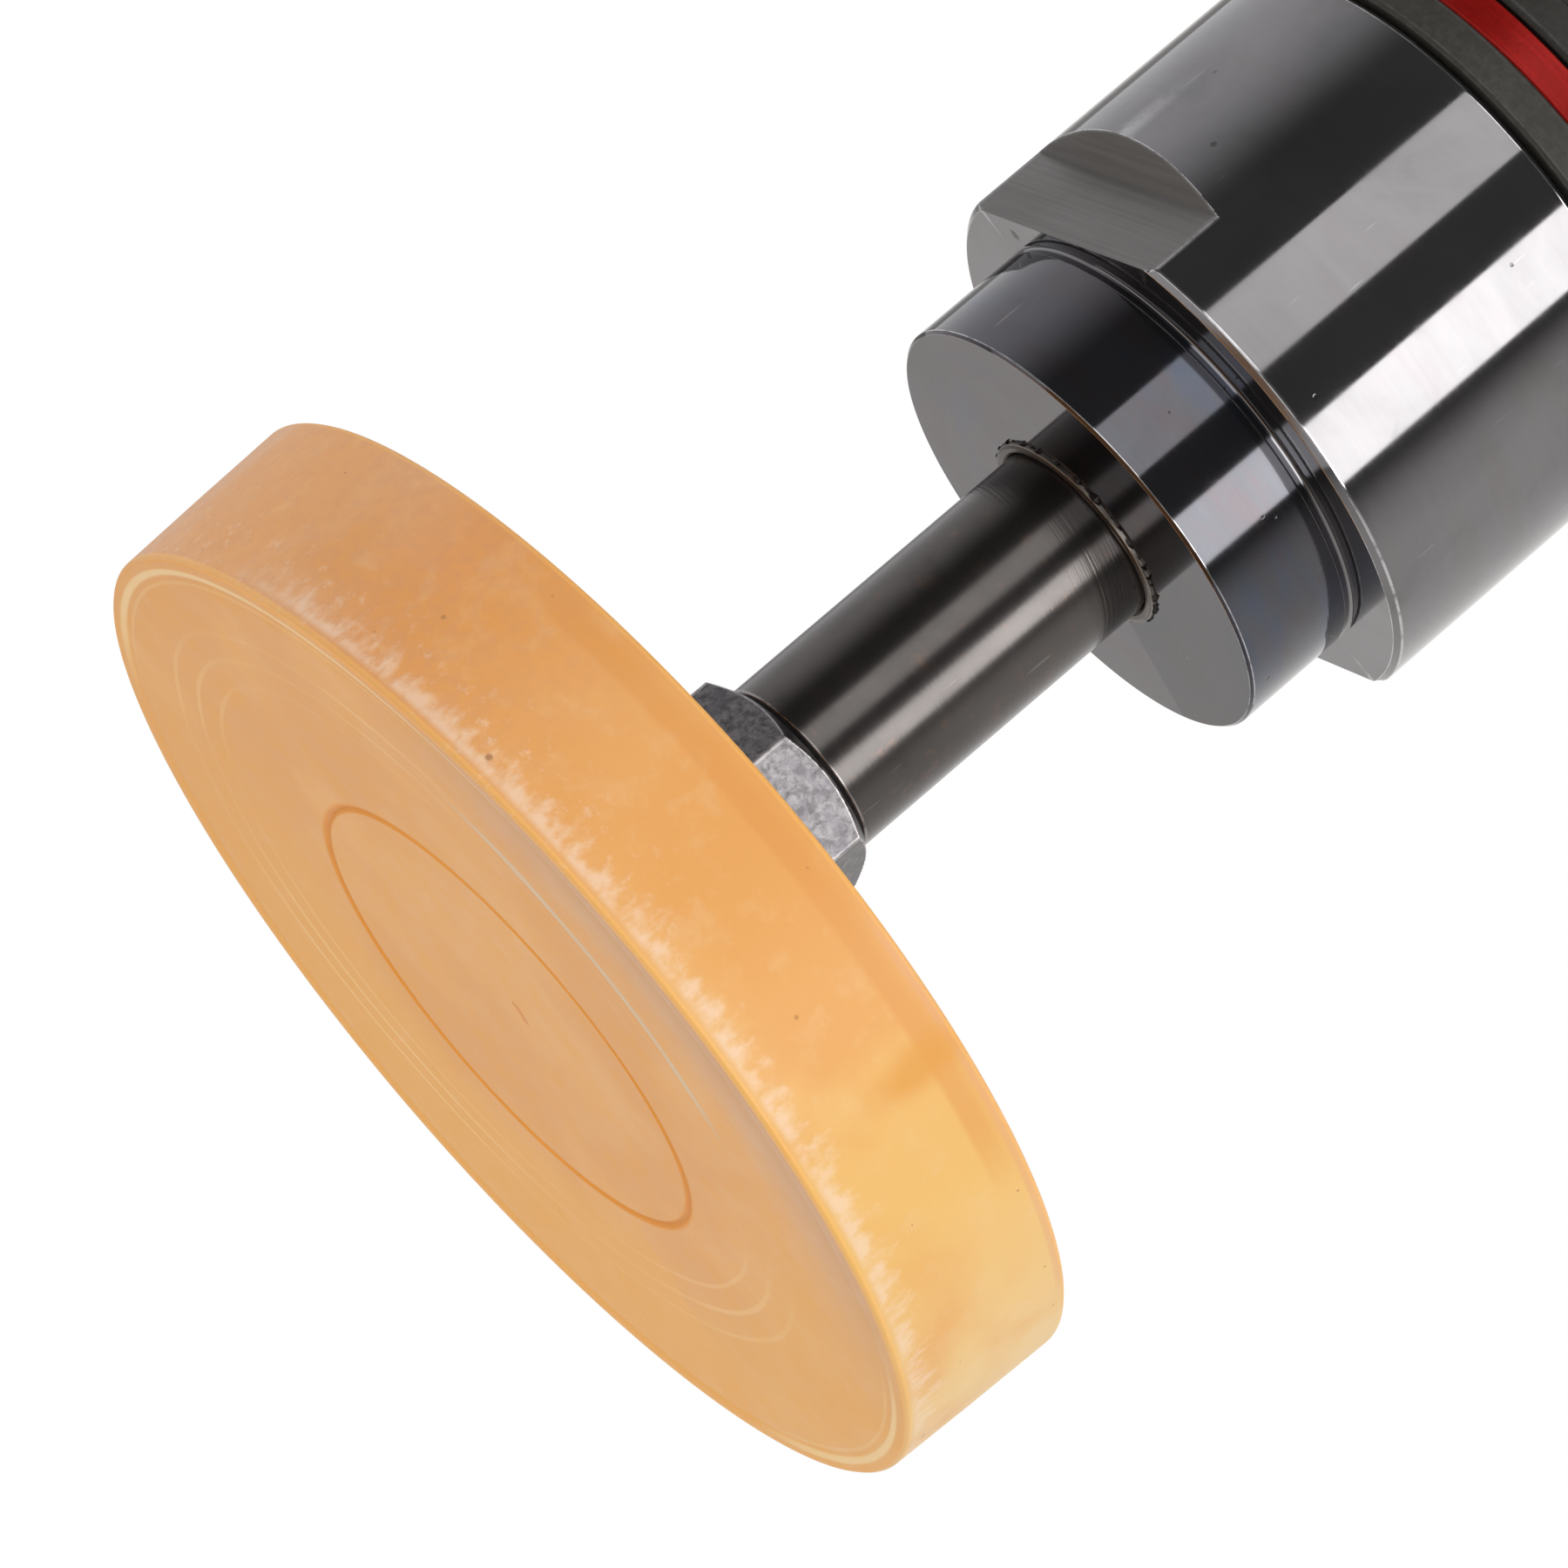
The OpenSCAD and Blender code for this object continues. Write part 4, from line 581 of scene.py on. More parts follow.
MATERIALS = {
    "amber_rubber": wheel_rubber(),
    "blued_steel": turned_steel("Blackened housing steel", (0.190, 0.184, 0.188, 1), 0.035, milled=0.38,
                                tint=(0.20, 0.15, 0.145, 1), scratches=0.14, wear=0.7, mark_depth=0.0002,
                                marked=HOUSING_MARKS),
    "spindle_steel": turned_steel("Blackened shaft steel", (0.096, 0.088, 0.084, 1), 0.165, slant=0.02,
                                  marks=4.5, warm=0.5, mark_depth=0.0012, wear=0.6, scratches=0.2,
                                  bright=(0.36, 0.34, 0.34, 1)),
    "seal_steel": turned_steel("Staked ring steel", (0.10, 0.09, 0.082, 1), 0.34, warm=0.7, wear=0.6,
                               mark_depth=0.002, bright=(0.34, 0.31, 0.29, 1)),
    "arbor_steel": worn_hexagon(),
    "gear_steel": turned_steel("Hardened gear steel", (0.40, 0.40, 0.41, 1), 0.28),
    "bright_steel": turned_steel("Ground bright steel", (0.68, 0.68, 0.69, 1), 0.14, wear=0.3),
    "spring_steel": turned_steel("Oiled spring steel", (0.26, 0.25, 0.24, 1), 0.30, wear=0.4),
    "zinc_steel": turned_steel("Zinc plated steel", (0.60, 0.60, 0.58, 1), 0.34, wear=0.4),
    "cast_iron": turned_steel("Ground iron", (0.30, 0.30, 0.30, 1), 0.42, mark_depth=0.004),
    "plated_steel": turned_steel("Nickel plated steel", (0.52, 0.50, 0.46, 1), 0.20, wear=0.5, marks=5.0),
    "brass": turned_steel("Turned brass", (0.64, 0.44, 0.17, 1), 0.26, bright=(0.8, 0.62, 0.3, 1)),
    "black_band": coated("Matt charcoal band", linear(42, 40, 36), 0.50, speckle=0.12, rings=0.25,
                         wear=0.15, under=(0.16, 0.16, 0.16, 1), specular=0.28),
    "red_band": coated("Red anodised band", linear(126, 14, 9), 0.32, metallic=0.5, rings=0.35,
                       speckle=0.04, wear=0.10, under=linear(190, 70, 58), specular=0.25),
    "motor_shell": coated("Charcoal anodised aluminium", linear(37, 36, 33), 0.48, metallic=0.2,
                          wear=0.10, speckle=0.08, under=(0.22, 0.22, 0.22, 1), specular=0.3),
    "handle_metal": coated("Charcoal coated casting", linear(60, 60, 60), 0.48, grain_size=900.0,
                           grain_depth=0.06, wear=0.5),
    "grip_rubber": coated("Matt grip rubber", linear(36, 36, 37), 0.68, grain_size=2200.0,
                          grain_depth=0.05, wear=0.12, under=linear(72, 72, 74), sheen=0.08),
    "lever_steel": coated("Black lever paint", linear(28, 28, 29), 0.30, coat=0.35, wear=0.6, speckle=0.05),
    "nitrile": coated("Black nitrile", linear(24, 24, 24), 0.50, wear=0.0),
    "deflector_shell": coated("Black moulded nylon", linear(38, 38, 39), 0.46, grain_size=1100.0,
                              grain_depth=0.05, wear=0.15, under=linear(90, 90, 92)),
    "felt": pressed_felt(),
    "vane_resin": laminate(),
}
node_slots = {part["node"]: part["material_slot"] for part in frame["record"]["subparts"]}
for node, cad_piece in frame["nodes"].items():
    cad_piece.data.materials.clear()
    cad_piece.data.materials.append(MATERIALS[node_slots[node]])


# ---------------------------------------------------------------- geometry trees

INT, MATERIAL, GEOMETRY = "NodeSocketInt", "NodeSocketMaterial", "NodeSocketGeometry"


def turned_tree():
    """Turns an outline about the spindle axis, with flats cut round part of its length."""
    tree, b, given, out = node_group(
        "Turned part", "GeometryNodeTree",
        [("Outline", GEOMETRY, None), ("Points", INT, 2), ("Segments", INT, 192),
         ("Flats", INT, 2), ("Half Across Flats", FLOAT, 1.0), ("Flats From", FLOAT, -1.0),
         ("Flats To", FLOAT, -1.0), ("Shoulder Lean", FLOAT, 0.0001), ("Turn", FLOAT, 0.0),
         ("Material", MATERIAL, None)],
        [("Geometry", GEOMETRY)])
    columns = b.math("ADD", given["Segments"], 1)
    grid = b.node("GeometryNodeMeshGrid", {"Vertices X": given["Points"], "Vertices Y": columns})
    index = b.node("GeometryNodeInputIndex").outputs[0]
    row = b.math("FLOOR", b.math("DIVIDE", index, columns))
    column = b.math("SUBTRACT", index, b.math("MULTIPLY", row, columns))
    place = b.node("GeometryNodeSampleIndex", data_type="FLOAT_VECTOR", domain="POINT")
    b.feed(place.inputs["Geometry"], given["Outline"])
    b.feed(place.inputs["Value"], b.node("GeometryNodeInputPosition").outputs[0])
    b.feed(place.inputs["Index"], row)
    corner = b.node("GeometryNodeSampleIndex", data_type="FLOAT", domain="POINT")
    named = b.node("GeometryNodeInputNamedAttribute", {"Name": "corner"}, data_type="FLOAT")
    b.feed(corner.inputs["Geometry"], given["Outline"])
    b.feed(corner.inputs["Value"], named.outputs["Attribute"])
    b.feed(corner.inputs["Index"], row)
    x, radius = b.split(place.outputs["Value"])[:2]
    around = b.math("MULTIPLY", b.math("DIVIDE", column, given["Segments"]), math.tau)
    sector = b.math("DIVIDE", math.tau, given["Flats"])
    half_sector = b.math("MULTIPLY", sector, 0.5)
    off_flat = b.math("SUBTRACT", b.math("FLOORED_MODULO", b.math("ADD", around, half_sector), sector),
                      half_sector)
    past = b.math("MAXIMUM", 0.0, b.math("SUBTRACT", x, given["Flats To"]))
    half = b.math("ADD", given["Half Across Flats"], b.math("DIVIDE", past, given["Shoulder Lean"]))
    limit = b.math("DIVIDE", half, b.math("MAXIMUM", b.math("COSINE", off_flat), 0.001))
    before = b.math("LESS_THAN", x, given["Flats From"])
    limit = b.math("ADD", limit, b.math("MULTIPLY", before, 10.0))
    new_radius = b.math("MINIMUM", radius, limit)
    at_flat_edge = b.step(b.math("ABSOLUTE", b.math("SUBTRACT", radius, limit)), 0.00002, 0.0003, 1.0, 0.0)
    worn = b.math("MULTIPLY", corner.outputs["Value"], b.step(
        b.math("SUBTRACT", radius, new_radius), 0.00002, 0.0003, 1.0, 0.0))
    worn = b.math("MAXIMUM", worn, at_flat_edge)
    turned = b.math("ADD", around, given["Turn"])
    position = b.join(x, b.math("MULTIPLY", new_radius, b.math("COSINE", turned)),
                      b.math("MULTIPLY", new_radius, b.math("SINE", turned)))
    placed = b.node("GeometryNodeSetPosition", {"Geometry": grid.outputs["Mesh"], "Position": position})
    kept = b.node("GeometryNodeStoreNamedAttribute", {"Geometry": placed.outputs[0], "Name": "edge",
                                                      "Value": worn}, data_type="FLOAT", domain="POINT")
    closed = b.node("GeometryNodeMergeByDistance", {"Geometry": kept.outputs[0], "Distance": 0.0000008})
    finish_tree(b, closed.outputs[0], given["Material"], out["Geometry"])
    return tree


def finish_tree(b, geometry, material, result):
    """Realize Instances and Set Material, which every tree here ends in."""
    real = b.node("GeometryNodeRealizeInstances", {"Geometry": geometry})
    done = b.node("GeometryNodeSetMaterial", {"Geometry": real.outputs[0], "Material": material})
    b.feed(result, done.outputs[0])


def ring_of_tree():
    """Copies of one small shape round a circle about the spindle axis, with seeded variety."""
    tree, b, given, out = node_group(
        "Ring of copies", "GeometryNodeTree",
        [("Shape", GEOMETRY, None), ("Count", INT, 12), ("Radius", FLOAT, 0.01), ("Station", FLOAT, 0.0),
         ("First Angle", FLOAT, 0.0), ("Spread", FLOAT, math.tau), ("Variety", FLOAT, 0.0),
         ("Seed", INT, 4), ("Material", MATERIAL, None)],
        [("Geometry", GEOMETRY)])
    line = b.node("GeometryNodeMeshLine", {"Count": given["Count"]})
    index = b.node("GeometryNodeInputIndex").outputs[0]
    jitter = b.node("FunctionNodeRandomValue", {"Seed": given["Seed"]}, data_type="FLOAT").outputs[1]
    share = b.math("DIVIDE", b.math("ADD", index, b.math("MULTIPLY", given["Variety"], jitter)),
                   given["Count"])
    angle = b.math("MULTIPLY_ADD", share, given["Spread"], given["First Angle"])
    position = b.join(given["Station"], b.math("MULTIPLY", given["Radius"], b.math("COSINE", angle)),
                      b.math("MULTIPLY", given["Radius"], b.math("SINE", angle)))
    placed = b.node("GeometryNodeSetPosition", {"Geometry": line.outputs[0], "Position": position})
    size = b.node("FunctionNodeRandomValue", {"Seed": b.math("ADD", given["Seed"], 7)},
                  data_type="FLOAT_VECTOR")
    low = b.math("SUBTRACT", 1.0, b.math("MULTIPLY", given["Variety"], 0.6))
    high = b.math("ADD", 1.0, b.math("MULTIPLY", given["Variety"], 0.8))
    b.feed(size.inputs[0], b.join(low, low, low))
    b.feed(size.inputs[1], b.join(high, high, high))
    copies = b.node("GeometryNodeInstanceOnPoints", {
        "Points": placed.outputs[0], "Instance": given["Shape"], "Rotation": b.join(angle, 0.0, 0.0),
        "Scale": size.outputs[0]})
    finish_tree(b, copies.outputs[0], given["Material"], out["Geometry"])
    return tree


GAUZE_POINTS = 90            # points along each wire


def gauze_tree():
    """A round of woven wire: waved wires both ways, cut to a disc by their own lengths."""
    tree, b, given, out = node_group(
        "Woven gauze", "GeometryNodeTree",
        [("Geometry", GEOMETRY, None), ("Wires", INT, 15), ("Disc Radius", FLOAT, 0.0055),
         ("Wire Radius", FLOAT, 0.0001), ("Station", FLOAT, 0.058), ("Material", MATERIAL, None)],
        [("Geometry", GEOMETRY)])
    both = b.node("GeometryNodeJoinGeometry")
    pitch = b.math("DIVIDE", b.math("MULTIPLY", given["Disc Radius"], 2.0), given["Wires"])
    for way in (0, 1):
        line = b.node("GeometryNodeCurvePrimitiveLine", {"Start": (-1.0, 0, 0), "End": (1.0, 0, 0)})
        bent = b.node("GeometryNodeResampleCurve", {"Curve": line.outputs[0], "Count": GAUZE_POINTS})
        spots = b.node("GeometryNodeMeshLine", {"Count": given["Wires"]})
        copies = b.node("GeometryNodeInstanceOnPoints", {"Points": spots.outputs[0],
                                                         "Instance": bent.outputs[0]})
        real = b.node("GeometryNodeRealizeInstances", {"Geometry": copies.outputs[0]})
        index = b.node("GeometryNodeInputIndex").outputs[0]
        which = b.math("FLOOR", b.math("DIVIDE", index, GAUZE_POINTS))
        across = b.math("MULTIPLY", b.math("SUBTRACT", which, b.math(
            "MULTIPLY", b.math("SUBTRACT", given["Wires"], 1.0), 0.5)), pitch)
        half = b.math("SQRT", b.math("MAXIMUM", 0.0, b.math("SUBTRACT", b.math(
            "MULTIPLY", given["Disc Radius"], given["Disc Radius"]), b.math("MULTIPLY", across, across))))
        step_on = b.math("SUBTRACT", index, b.math("MULTIPLY", which, GAUZE_POINTS))
        share = b.math("SUBTRACT", b.math("DIVIDE", step_on, (GAUZE_POINTS - 1) / 2), 1.0)
        along = b.math("MULTIPLY", half, share)
        sign = b.math("SUBTRACT", b.math("MULTIPLY", b.math("MODULO", which, 2.0), 2.0), 1.0)
        wave = b.math("COSINE", b.math("MULTIPLY", b.math("DIVIDE", along, pitch), math.pi))
        lift = b.math("MULTIPLY", b.math("MULTIPLY", wave, sign), b.math(
            "MULTIPLY", given["Wire Radius"], 1.1 if way else -1.1))
        x = b.math("ADD", given["Station"], lift)
        position = b.join(x, along, across) if way == 0 else b.join(x, across, along)
        placed = b.node("GeometryNodeSetPosition", {"Geometry": real.outputs[0], "Position": position})
        profile = b.node("GeometryNodeCurvePrimitiveCircle", {"Resolution": 6})
        b.feed([s for s in profile.inputs if s.name == "Radius"][0], given["Wire Radius"])
        wires = b.node("GeometryNodeCurveToMesh", {"Curve": placed.outputs[0],
                                                   "Profile Curve": profile.outputs[0], "Fill Caps": True})
        b.tree.links.new(wires.outputs[0], both.inputs[0])
    finish_tree(b, both.outputs[0], given["Material"], out["Geometry"])
    return tree


TREES = {tree.name: tree for tree in (turned_tree(), ring_of_tree(), gauze_tree())}


def grow(name, source, tree_name, **values):
    """Runs a geometry tree on a source mesh and keeps the result as one plain mesh."""
    holder = bpy.data.objects.new(name + "_source", source)
    bpy.context.scene.collection.objects.link(holder)
    modifier = holder.modifiers.new(tree_name, "NODES")
    modifier.node_group = TREES[tree_name]
    sockets = {item.name: item.identifier for item in TREES[tree_name].interface.items_tree
               if item.item_type == "SOCKET" and item.in_out == "INPUT"}
    for label, value in values.items():
        modifier[sockets[label.replace("_", " ")]] = value
    bpy.context.view_layer.update()
    shape = holder.evaluated_get(bpy.context.evaluated_depsgraph_get())
    mesh = bpy.data.meshes.new_from_object(shape)
    mesh.name = name
    holder.modifiers.clear()
    bpy.data.objects.remove(holder)
    return mesh


# ---------------------------------------------------------------- shaping

def softened(outline, soft, closed):
    """The outline with rounded corners, as (station, radius, corner): 1 on an outside corner, -1 inside."""
    count = len(outline)
    area = sum(outline[i][0] * outline[(i + 1) % count][1] - outline[(i + 1) % count][0] * outline[i][1]
               for i in range(count))
    points = []
    for i, entry in enumerate(outline):
        here = Vector(entry[:2])
        wanted = entry[2] if len(entry) > 2 else soft
        if (not closed and i in (0, count - 1)) or wanted <= 0:
            points.append((here.x, here.y, 0.0))
            continue
        before, after = Vector(outline[i - 1][:2]), Vector(outline[(i + 1) % count][:2])
        way_in, way_out = (here - before), (after - here)
        turn = way_in.angle_signed(way_out, 0.0)
        if abs(turn) < 0.12:
            points.append((here.x, here.y, 0.0))
            continue
        cut = min(wanted * math.tan(abs(turn) / 2), 0.42 * way_in.length, 0.42 * way_out.length)
        outside = 1.0 if (-turn) * area > 0 else -1.0
        start, end = here - way_in.normalized() * cut, here + way_out.normalized() * cut
        lead = min(0.05, 0.3 * cut)
        lead_in, lead_out = start - way_in.normalized() * lead, end + way_out.normalized() * lead
        points.append((lead_in.x, lead_in.y, 0.0))
        for k in range(5):
            t = k / 4
            p = start * (1 - t) ** 2 + here * 2 * t * (1 - t) + end * t ** 2
            points.append((p.x, p.y, outside * (0.5 + 0.5 * math.sin(math.pi * t))))
        points.append((lead_out.x, lead_out.y, 0.0))
    if closed:
        points.append(points[0])
    return points


def outline_mesh(name, points):
    mesh = bpy.data.meshes.new(name)
    mesh.from_pydata([(metres_along(s), r * MM, 0.0) for s, r, _ in points],
                     [(i, i + 1) for i in range(len(points) - 1)], [])
    corner = mesh.attributes.new("corner", "FLOAT", "POINT")
    corner.data.foreach_set("value", [c for _, _, c in points])
    return mesh


def tidy_mesh(mesh, sharp=32.0):
    """Outward faces, smooth shading with sharp edges kept."""
    shape = bmesh.new()
    shape.from_mesh(mesh)
    bmesh.ops.remove_doubles(shape, verts=shape.verts, dist=0.0000005)
    bmesh.ops.dissolve_degenerate(shape, edges=shape.edges, dist=0.0000002)
    bmesh.ops.recalc_face_normals(shape, faces=shape.faces)
    shape.to_mesh(mesh)
    shape.free()
    mesh.shade_smooth()
    mesh.set_sharp_from_angle(angle=math.radians(sharp))
    return mesh


def add_piece(name, mesh, body, slot, replaces=()):
    piece = bpy.data.objects.new(name, mesh)
    bpy.context.scene.collection.objects.link(piece)
    if not mesh.materials:
        mesh.materials.append(MATERIALS[slot])
    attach(piece, body)
    if replaces:
        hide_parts(*replaces)
    return piece


def turned_piece(name, outline, body, slot, replaces=(), soft=0.25, segments=192, closed=None, **flats):
    """A piece turned about the spindle axis from (station, radius[, corner radius]) points."""
    if closed is None:
        closed = outline[0][1] > 0
    points = softened(outline, soft, closed)
    source = outline_mesh(name + "_outline", points)
    mesh = grow(name, source, "Turned part", Points=len(points), Segments=segments,
                Material=MATERIALS[slot], **flats)
    return add_piece(name, tidy_mesh(mesh), body, slot, replaces)


def worked_copy(node, body, slot, edge=0.25, segments=2, name=None):
    """A CAD node's shape merged, smoothed and given rounded edges, standing for the node."""
    mesh = frame["nodes"][node].data.copy()
    shape = bmesh.new()
    shape.from_mesh(mesh)
    bmesh.ops.remove_doubles(shape, verts=shape.verts, dist=0.000002)
    bmesh.ops.dissolve_limit(shape, angle_limit=math.radians(0.6), verts=shape.verts, edges=shape.edges)
    shape.to_mesh(mesh)
    shape.free()
    holder = bpy.data.objects.new(node + "_work", mesh)
    bpy.context.scene.collection.objects.link(holder)
    if edge:
        bevel = holder.modifiers.new("Edge", "BEVEL")
        bevel.width, bevel.segments = edge * MM, segments
        bevel.limit_method, bevel.angle_limit = "ANGLE", math.radians(35)
        bevel.use_clamp_overlap = True
    bpy.context.view_layer.update()
    made = bpy.data.meshes.new_from_object(holder.evaluated_get(bpy.context.evaluated_depsgraph_get()))
    bpy.data.objects.remove(holder)
    for name_of in [a.name for a in made.attributes if a.name.startswith("custom_normal")]:
        made.attributes.remove(made.attributes[name_of])
    made.name = name or node + "_finished"
    made.materials.clear()
    made.materials.append(MATERIALS[slot])
    made.shade_smooth()
    made.set_sharp_from_angle(angle=math.radians(28))
    return add_piece(made.name, made, body, slot, [node])


# ---------------------------------------------------------------- the visible front end

TOOL, SPINDLE = "tool_body", "spindle"
HEX_FRONT, HEX_REAR = WHEEL_T + 0.4, 29.4
HEX_HALF = 8.5
HEX_TURN = math.radians(14 + 30)


def eraser_wheel():
    dish = [(0.62 + 0.08 * math.cos(r / 20 * math.pi), r, 0) for r in (0, 4, 8, 12, 16)]
    face = [(0.45, 19.65, 0.1), (0.62, 19.85, 0.1), (0.72, 20.0, 0.1), (0.62, 20.15, 0.1),
            (0.42, 20.35, 0.1), (0.36, 28, 0), (0.22, 36, 0), (0.12, 40, 0), (0.10, 41.7, 0),
            (0.15, 41.9, 0), (0.13, 42.3, 0), (0.04, 42.5, 0), (0.0, 43.0, 0)]
    body = [(0.0, 43.7, 0.25), (0.3, WHEEL_R, 0.3), (8.0, 44.34, 0), (15.25, WHEEL_BACK_R, 0.25),
            (WHEEL_T, 44.35, 0.2), (WHEEL_T, 18.5, 0.2), (WHEEL_T - 0.5, 18.0, 0.2),
            (WHEEL_T - 0.5, 9.52, 0)]
    hollow = [(6.32, 9.52, 0), (6.32, 18.02, 0), (4.48, 18.02, 0), (4.48, 0, 0)]
    turned_piece("rubber_wheel", dish + face + body + hollow, SPINDLE, "amber_rubber", ["eraser_wheel"],
                 segments=384, closed=False)


def hexagon_and_studs():
    corner = HEX_HALF / math.cos(math.radians(30))
    chamfer = [(HEX_REAR - 1.15 + 1.15 * k / 12, corner + 0.05 - (corner + 0.05 - 8.1) * k / 12, 0)
               for k in range(13)]
    front = [(HEX_FRONT + 0.8 * k / 6, 8.3 + (corner + 0.05 - 8.3) * k / 6, 0) for k in range(7)]
    outline = [(7, 0), (7, 3.6, 0), (7.4, 4, 0), (HEX_FRONT, 4, 0)] + front + chamfer + [
        (HEX_REAR, 5, 0), (41.5, 5, 0), (42, 4.5, 0), (42, 0)]
    turned_piece("hexagon_arbor", outline, SPINDLE, "arbor_steel", ["wheel_arbor"], segments=360,
                 Flats=6, Half_Across_Flats=HEX_HALF * MM, Flats_From=metres_along(HEX_FRONT - 0.1),
                 Flats_To=metres_along(HEX_REAR + 0.1), Turn=HEX_TURN)


def spindle_shaft():
    outline = [(HEX_REAR + 0.1, 5.02, 0), (HEX_REAR + 0.1, 7.2, 0.15), (HEX_REAR + 0.6, 7.62, 0.3),
               (61.8, 7.62, 0), (61.8, 7.48, 0), (80.2, 7.48, 0), (80.2, 6.8, 0), (81.3, 6.8, 0),
               (81.3, 7.48, 0), (82.6, 7.48, 0), (82.6, 15.2, 0), (86.2, 15.2, 0), (86.2, 0, 0),
               (42.4, 0, 0), (42.4, 5.02, 0)]
    turned_piece("spindle_shaft", outline, SPINDLE, "spindle_steel", ["output_spindle"], segments=256)


def geared_nose():
    nose = [(62, 8.72, 0), (NOSE_FRONT, 8.72, 0), (NOSE_FRONT, 9.3, 0.12), (NOSE_FRONT, 18.95, 0.06),
            (59.25, NOSE_R, 0.12), (68.75, NOSE_R, 0.1), (68.9, 19.0, 0.1)]
    shell = [(HOUSING_FRONT, 19.0, 0.3), (HOUSING_FRONT, 23.5, 0.12), (70.1, HOUSING_R, 0.3),
             (FLAT_REAR, HOUSING_R, 0)]
    shoulder = [(FLAT_REAR + 1.68 * k / 28, HOUSING_R, 0) for k in range(1, 29)]
    rear = [(97.3, HOUSING_R, 0.25), (97.7, 23.6, 0.1), (97.7, 21.4, 0), (111.5, 21.4, 0), (111.5, 19, 0)]
    bore = [(82.4, 19, 0), (82.4, 14.02, 0), (81.5, 14.02, 0), (81.5, 14.9, 0), (80.2, 14.9, 0),
            (80.2, 14.02, 0), (62, 14.02, 0)]
    outline = nose + shell + shoulder + rear + bore
    turned_piece("geared_housing", outline, TOOL, "blued_steel", ["gear_housing"], segments=432,
                 Flats=2, Half_Across_Flats=FLAT_HALF * MM, Flats_From=metres_along(69.0),
                 Flats_To=metres_along(FLAT_REAR), Shoulder_Lean=0.46, Turn=math.radians(90))


def staked_seal():
    outline = [(61.7, 7.67, 0), (58.85, 7.67, 0.05), (58.62, 7.95, 0.1), (58.6, 8.3, 0.1), (58.7, 8.6, 0.1),
               (59.0, 8.7, 0), (61.7, 8.7, 0)]
    turned_piece("staked_ring", outline, TOOL, "seal_steel", ["dust_seal"], segments=192)
    burr = bpy.data.meshes.new("burr")
    burr.from_pydata([(-0.00016, 0, -0.0003), (-0.00026, 0.00006, 0.0001), (-0.00012, 0.00005, 0.0005),
                      (0.0001, -0.00012, -0.0003), (0.0001, 0.00018, 0.0001), (0.0001, -0.0001, 0.0004)],
                     [], [(0, 1, 4, 3), (1, 2, 5, 4), (0, 3, 5, 2), (0, 2, 1), (3, 4, 5)])
    mesh = grow("staking_burrs", burr, "Ring of copies", Count=44, Radius=8.70 * MM,
                Station=metres_along(NOSE_FRONT + 0.06), Variety=0.95, Seed=9,
                Material=MATERIALS["seal_steel"])
    add_piece("staking_burrs", tidy_mesh(mesh, 20), TOOL, "seal_steel")


def trim_rings():
    turned_piece("charcoal_ring", [(98.1, 21.5, 0), (98.1, 24.15, 0.2), (98.4, 24.5, 0.2),
                                   (101.05, 24.5, 0.2), (101.3, 24.3, 0.1), (101.3, 21.5, 0)],
                 TOOL, "black_band", ["black_ring"], segments=256)
    turned_piece("red_anodised_ring", [(101.3, 21.5, 0), (101.3, 24.3, 0.1), (101.45, 24.5, 0.12),
                                       (104.05, 24.5, 0.12), (104.2, 24.3, 0.1), (104.2, 21.5, 0)],
                 TOOL, "red_band", ["red_ring"], segments=256)


def motor_shell():
    outline = [(104.6, 21.5, 0), (104.6, 24.1, 0.2), (105.0, 24.5, 0.3), (107.6, 24.5, 0.1),
               (107.8, 24.3, 0.1), (108.6, 24.3, 0.1), (108.8, 24.5, 0.1), (145.998, 24.5, 0),
               (146, 24.5, 0), (156, 24.5, 0), (156.002, 24.5, 0), (158, 24.5, 0.6), (159.2, 24.0, 0.5),
               (165.4, 22.7, 0.2), (166, 22.2, 0.2),
               (166, 20.45, 0), (161.1, 20.45, 0), (161.1, 20, 0), (111.8, 20, 0), (111.8, 21.42, 0)]
    turned_piece("motor_shell", outline, TOOL, "motor_shell", ["motor_housing"], segments=320,
                 Flats=2, Half_Across_Flats=23.7 * MM, Flats_From=metres_along(145.999),
                 Flats_To=metres_along(156.001), Turn=0.0)


eraser_wheel()
hexagon_and_studs()
spindle_shaft()
geared_nose()
staked_seal()
trim_rings()
motor_shell()


# ---------------------------------------------------------------- handle, lever and tail

def ribbed_grip():
    """The rubber sleeve, with shallow grooves between its ribs."""
    outline = [(171.1, 17.02, 0), (171.1, 20.5, 0.2), (171.6, 21.0, 0.4)]
    pitch = 4.0
    for i in range(8):
        front = 172.4 + i * pitch
        outline += [(front, 21.0, 0.35), (front + 0.15, 20.3, 0.15), (front + 1.05, 20.3, 0.15),
                    (front + 1.2, 21.0, 0.35)]
    outline += [(202.4, 21.0, 0.4), (203, 20.4, 0.3), (203, 17.02, 0)]
    turned_piece("ribbed_grip", outline, TOOL, "grip_rubber", ["grip_sleeve"], segments=160)


ribbed_grip()
worked_copy("handle", TOOL, "handle_metal", edge=0.3)
worked_copy("throttle_lever", "lever", "lever_steel", edge=0.45, segments=3)
worked_copy("exhaust_deflector", "deflector", "deflector_shell", edge=0.2)
worked_copy("inlet_bushing", TOOL, "plated_steel", edge=0.3)
worked_copy("valve_cap", TOOL, "plated_steel", edge=0.2)
worked_copy("speed_regulator", "regulator", "plated_steel", edge=0.15)
worked_copy("regulator_clip", TOOL, "spring_steel", edge=0.06)
worked_copy("lever_pin", TOOL, "bright_steel", edge=0.2)
worked_copy("valve_stem", "valve", "bright_steel", edge=0.1)
worked_copy("valve_guide", TOOL, "brass", edge=0.15)


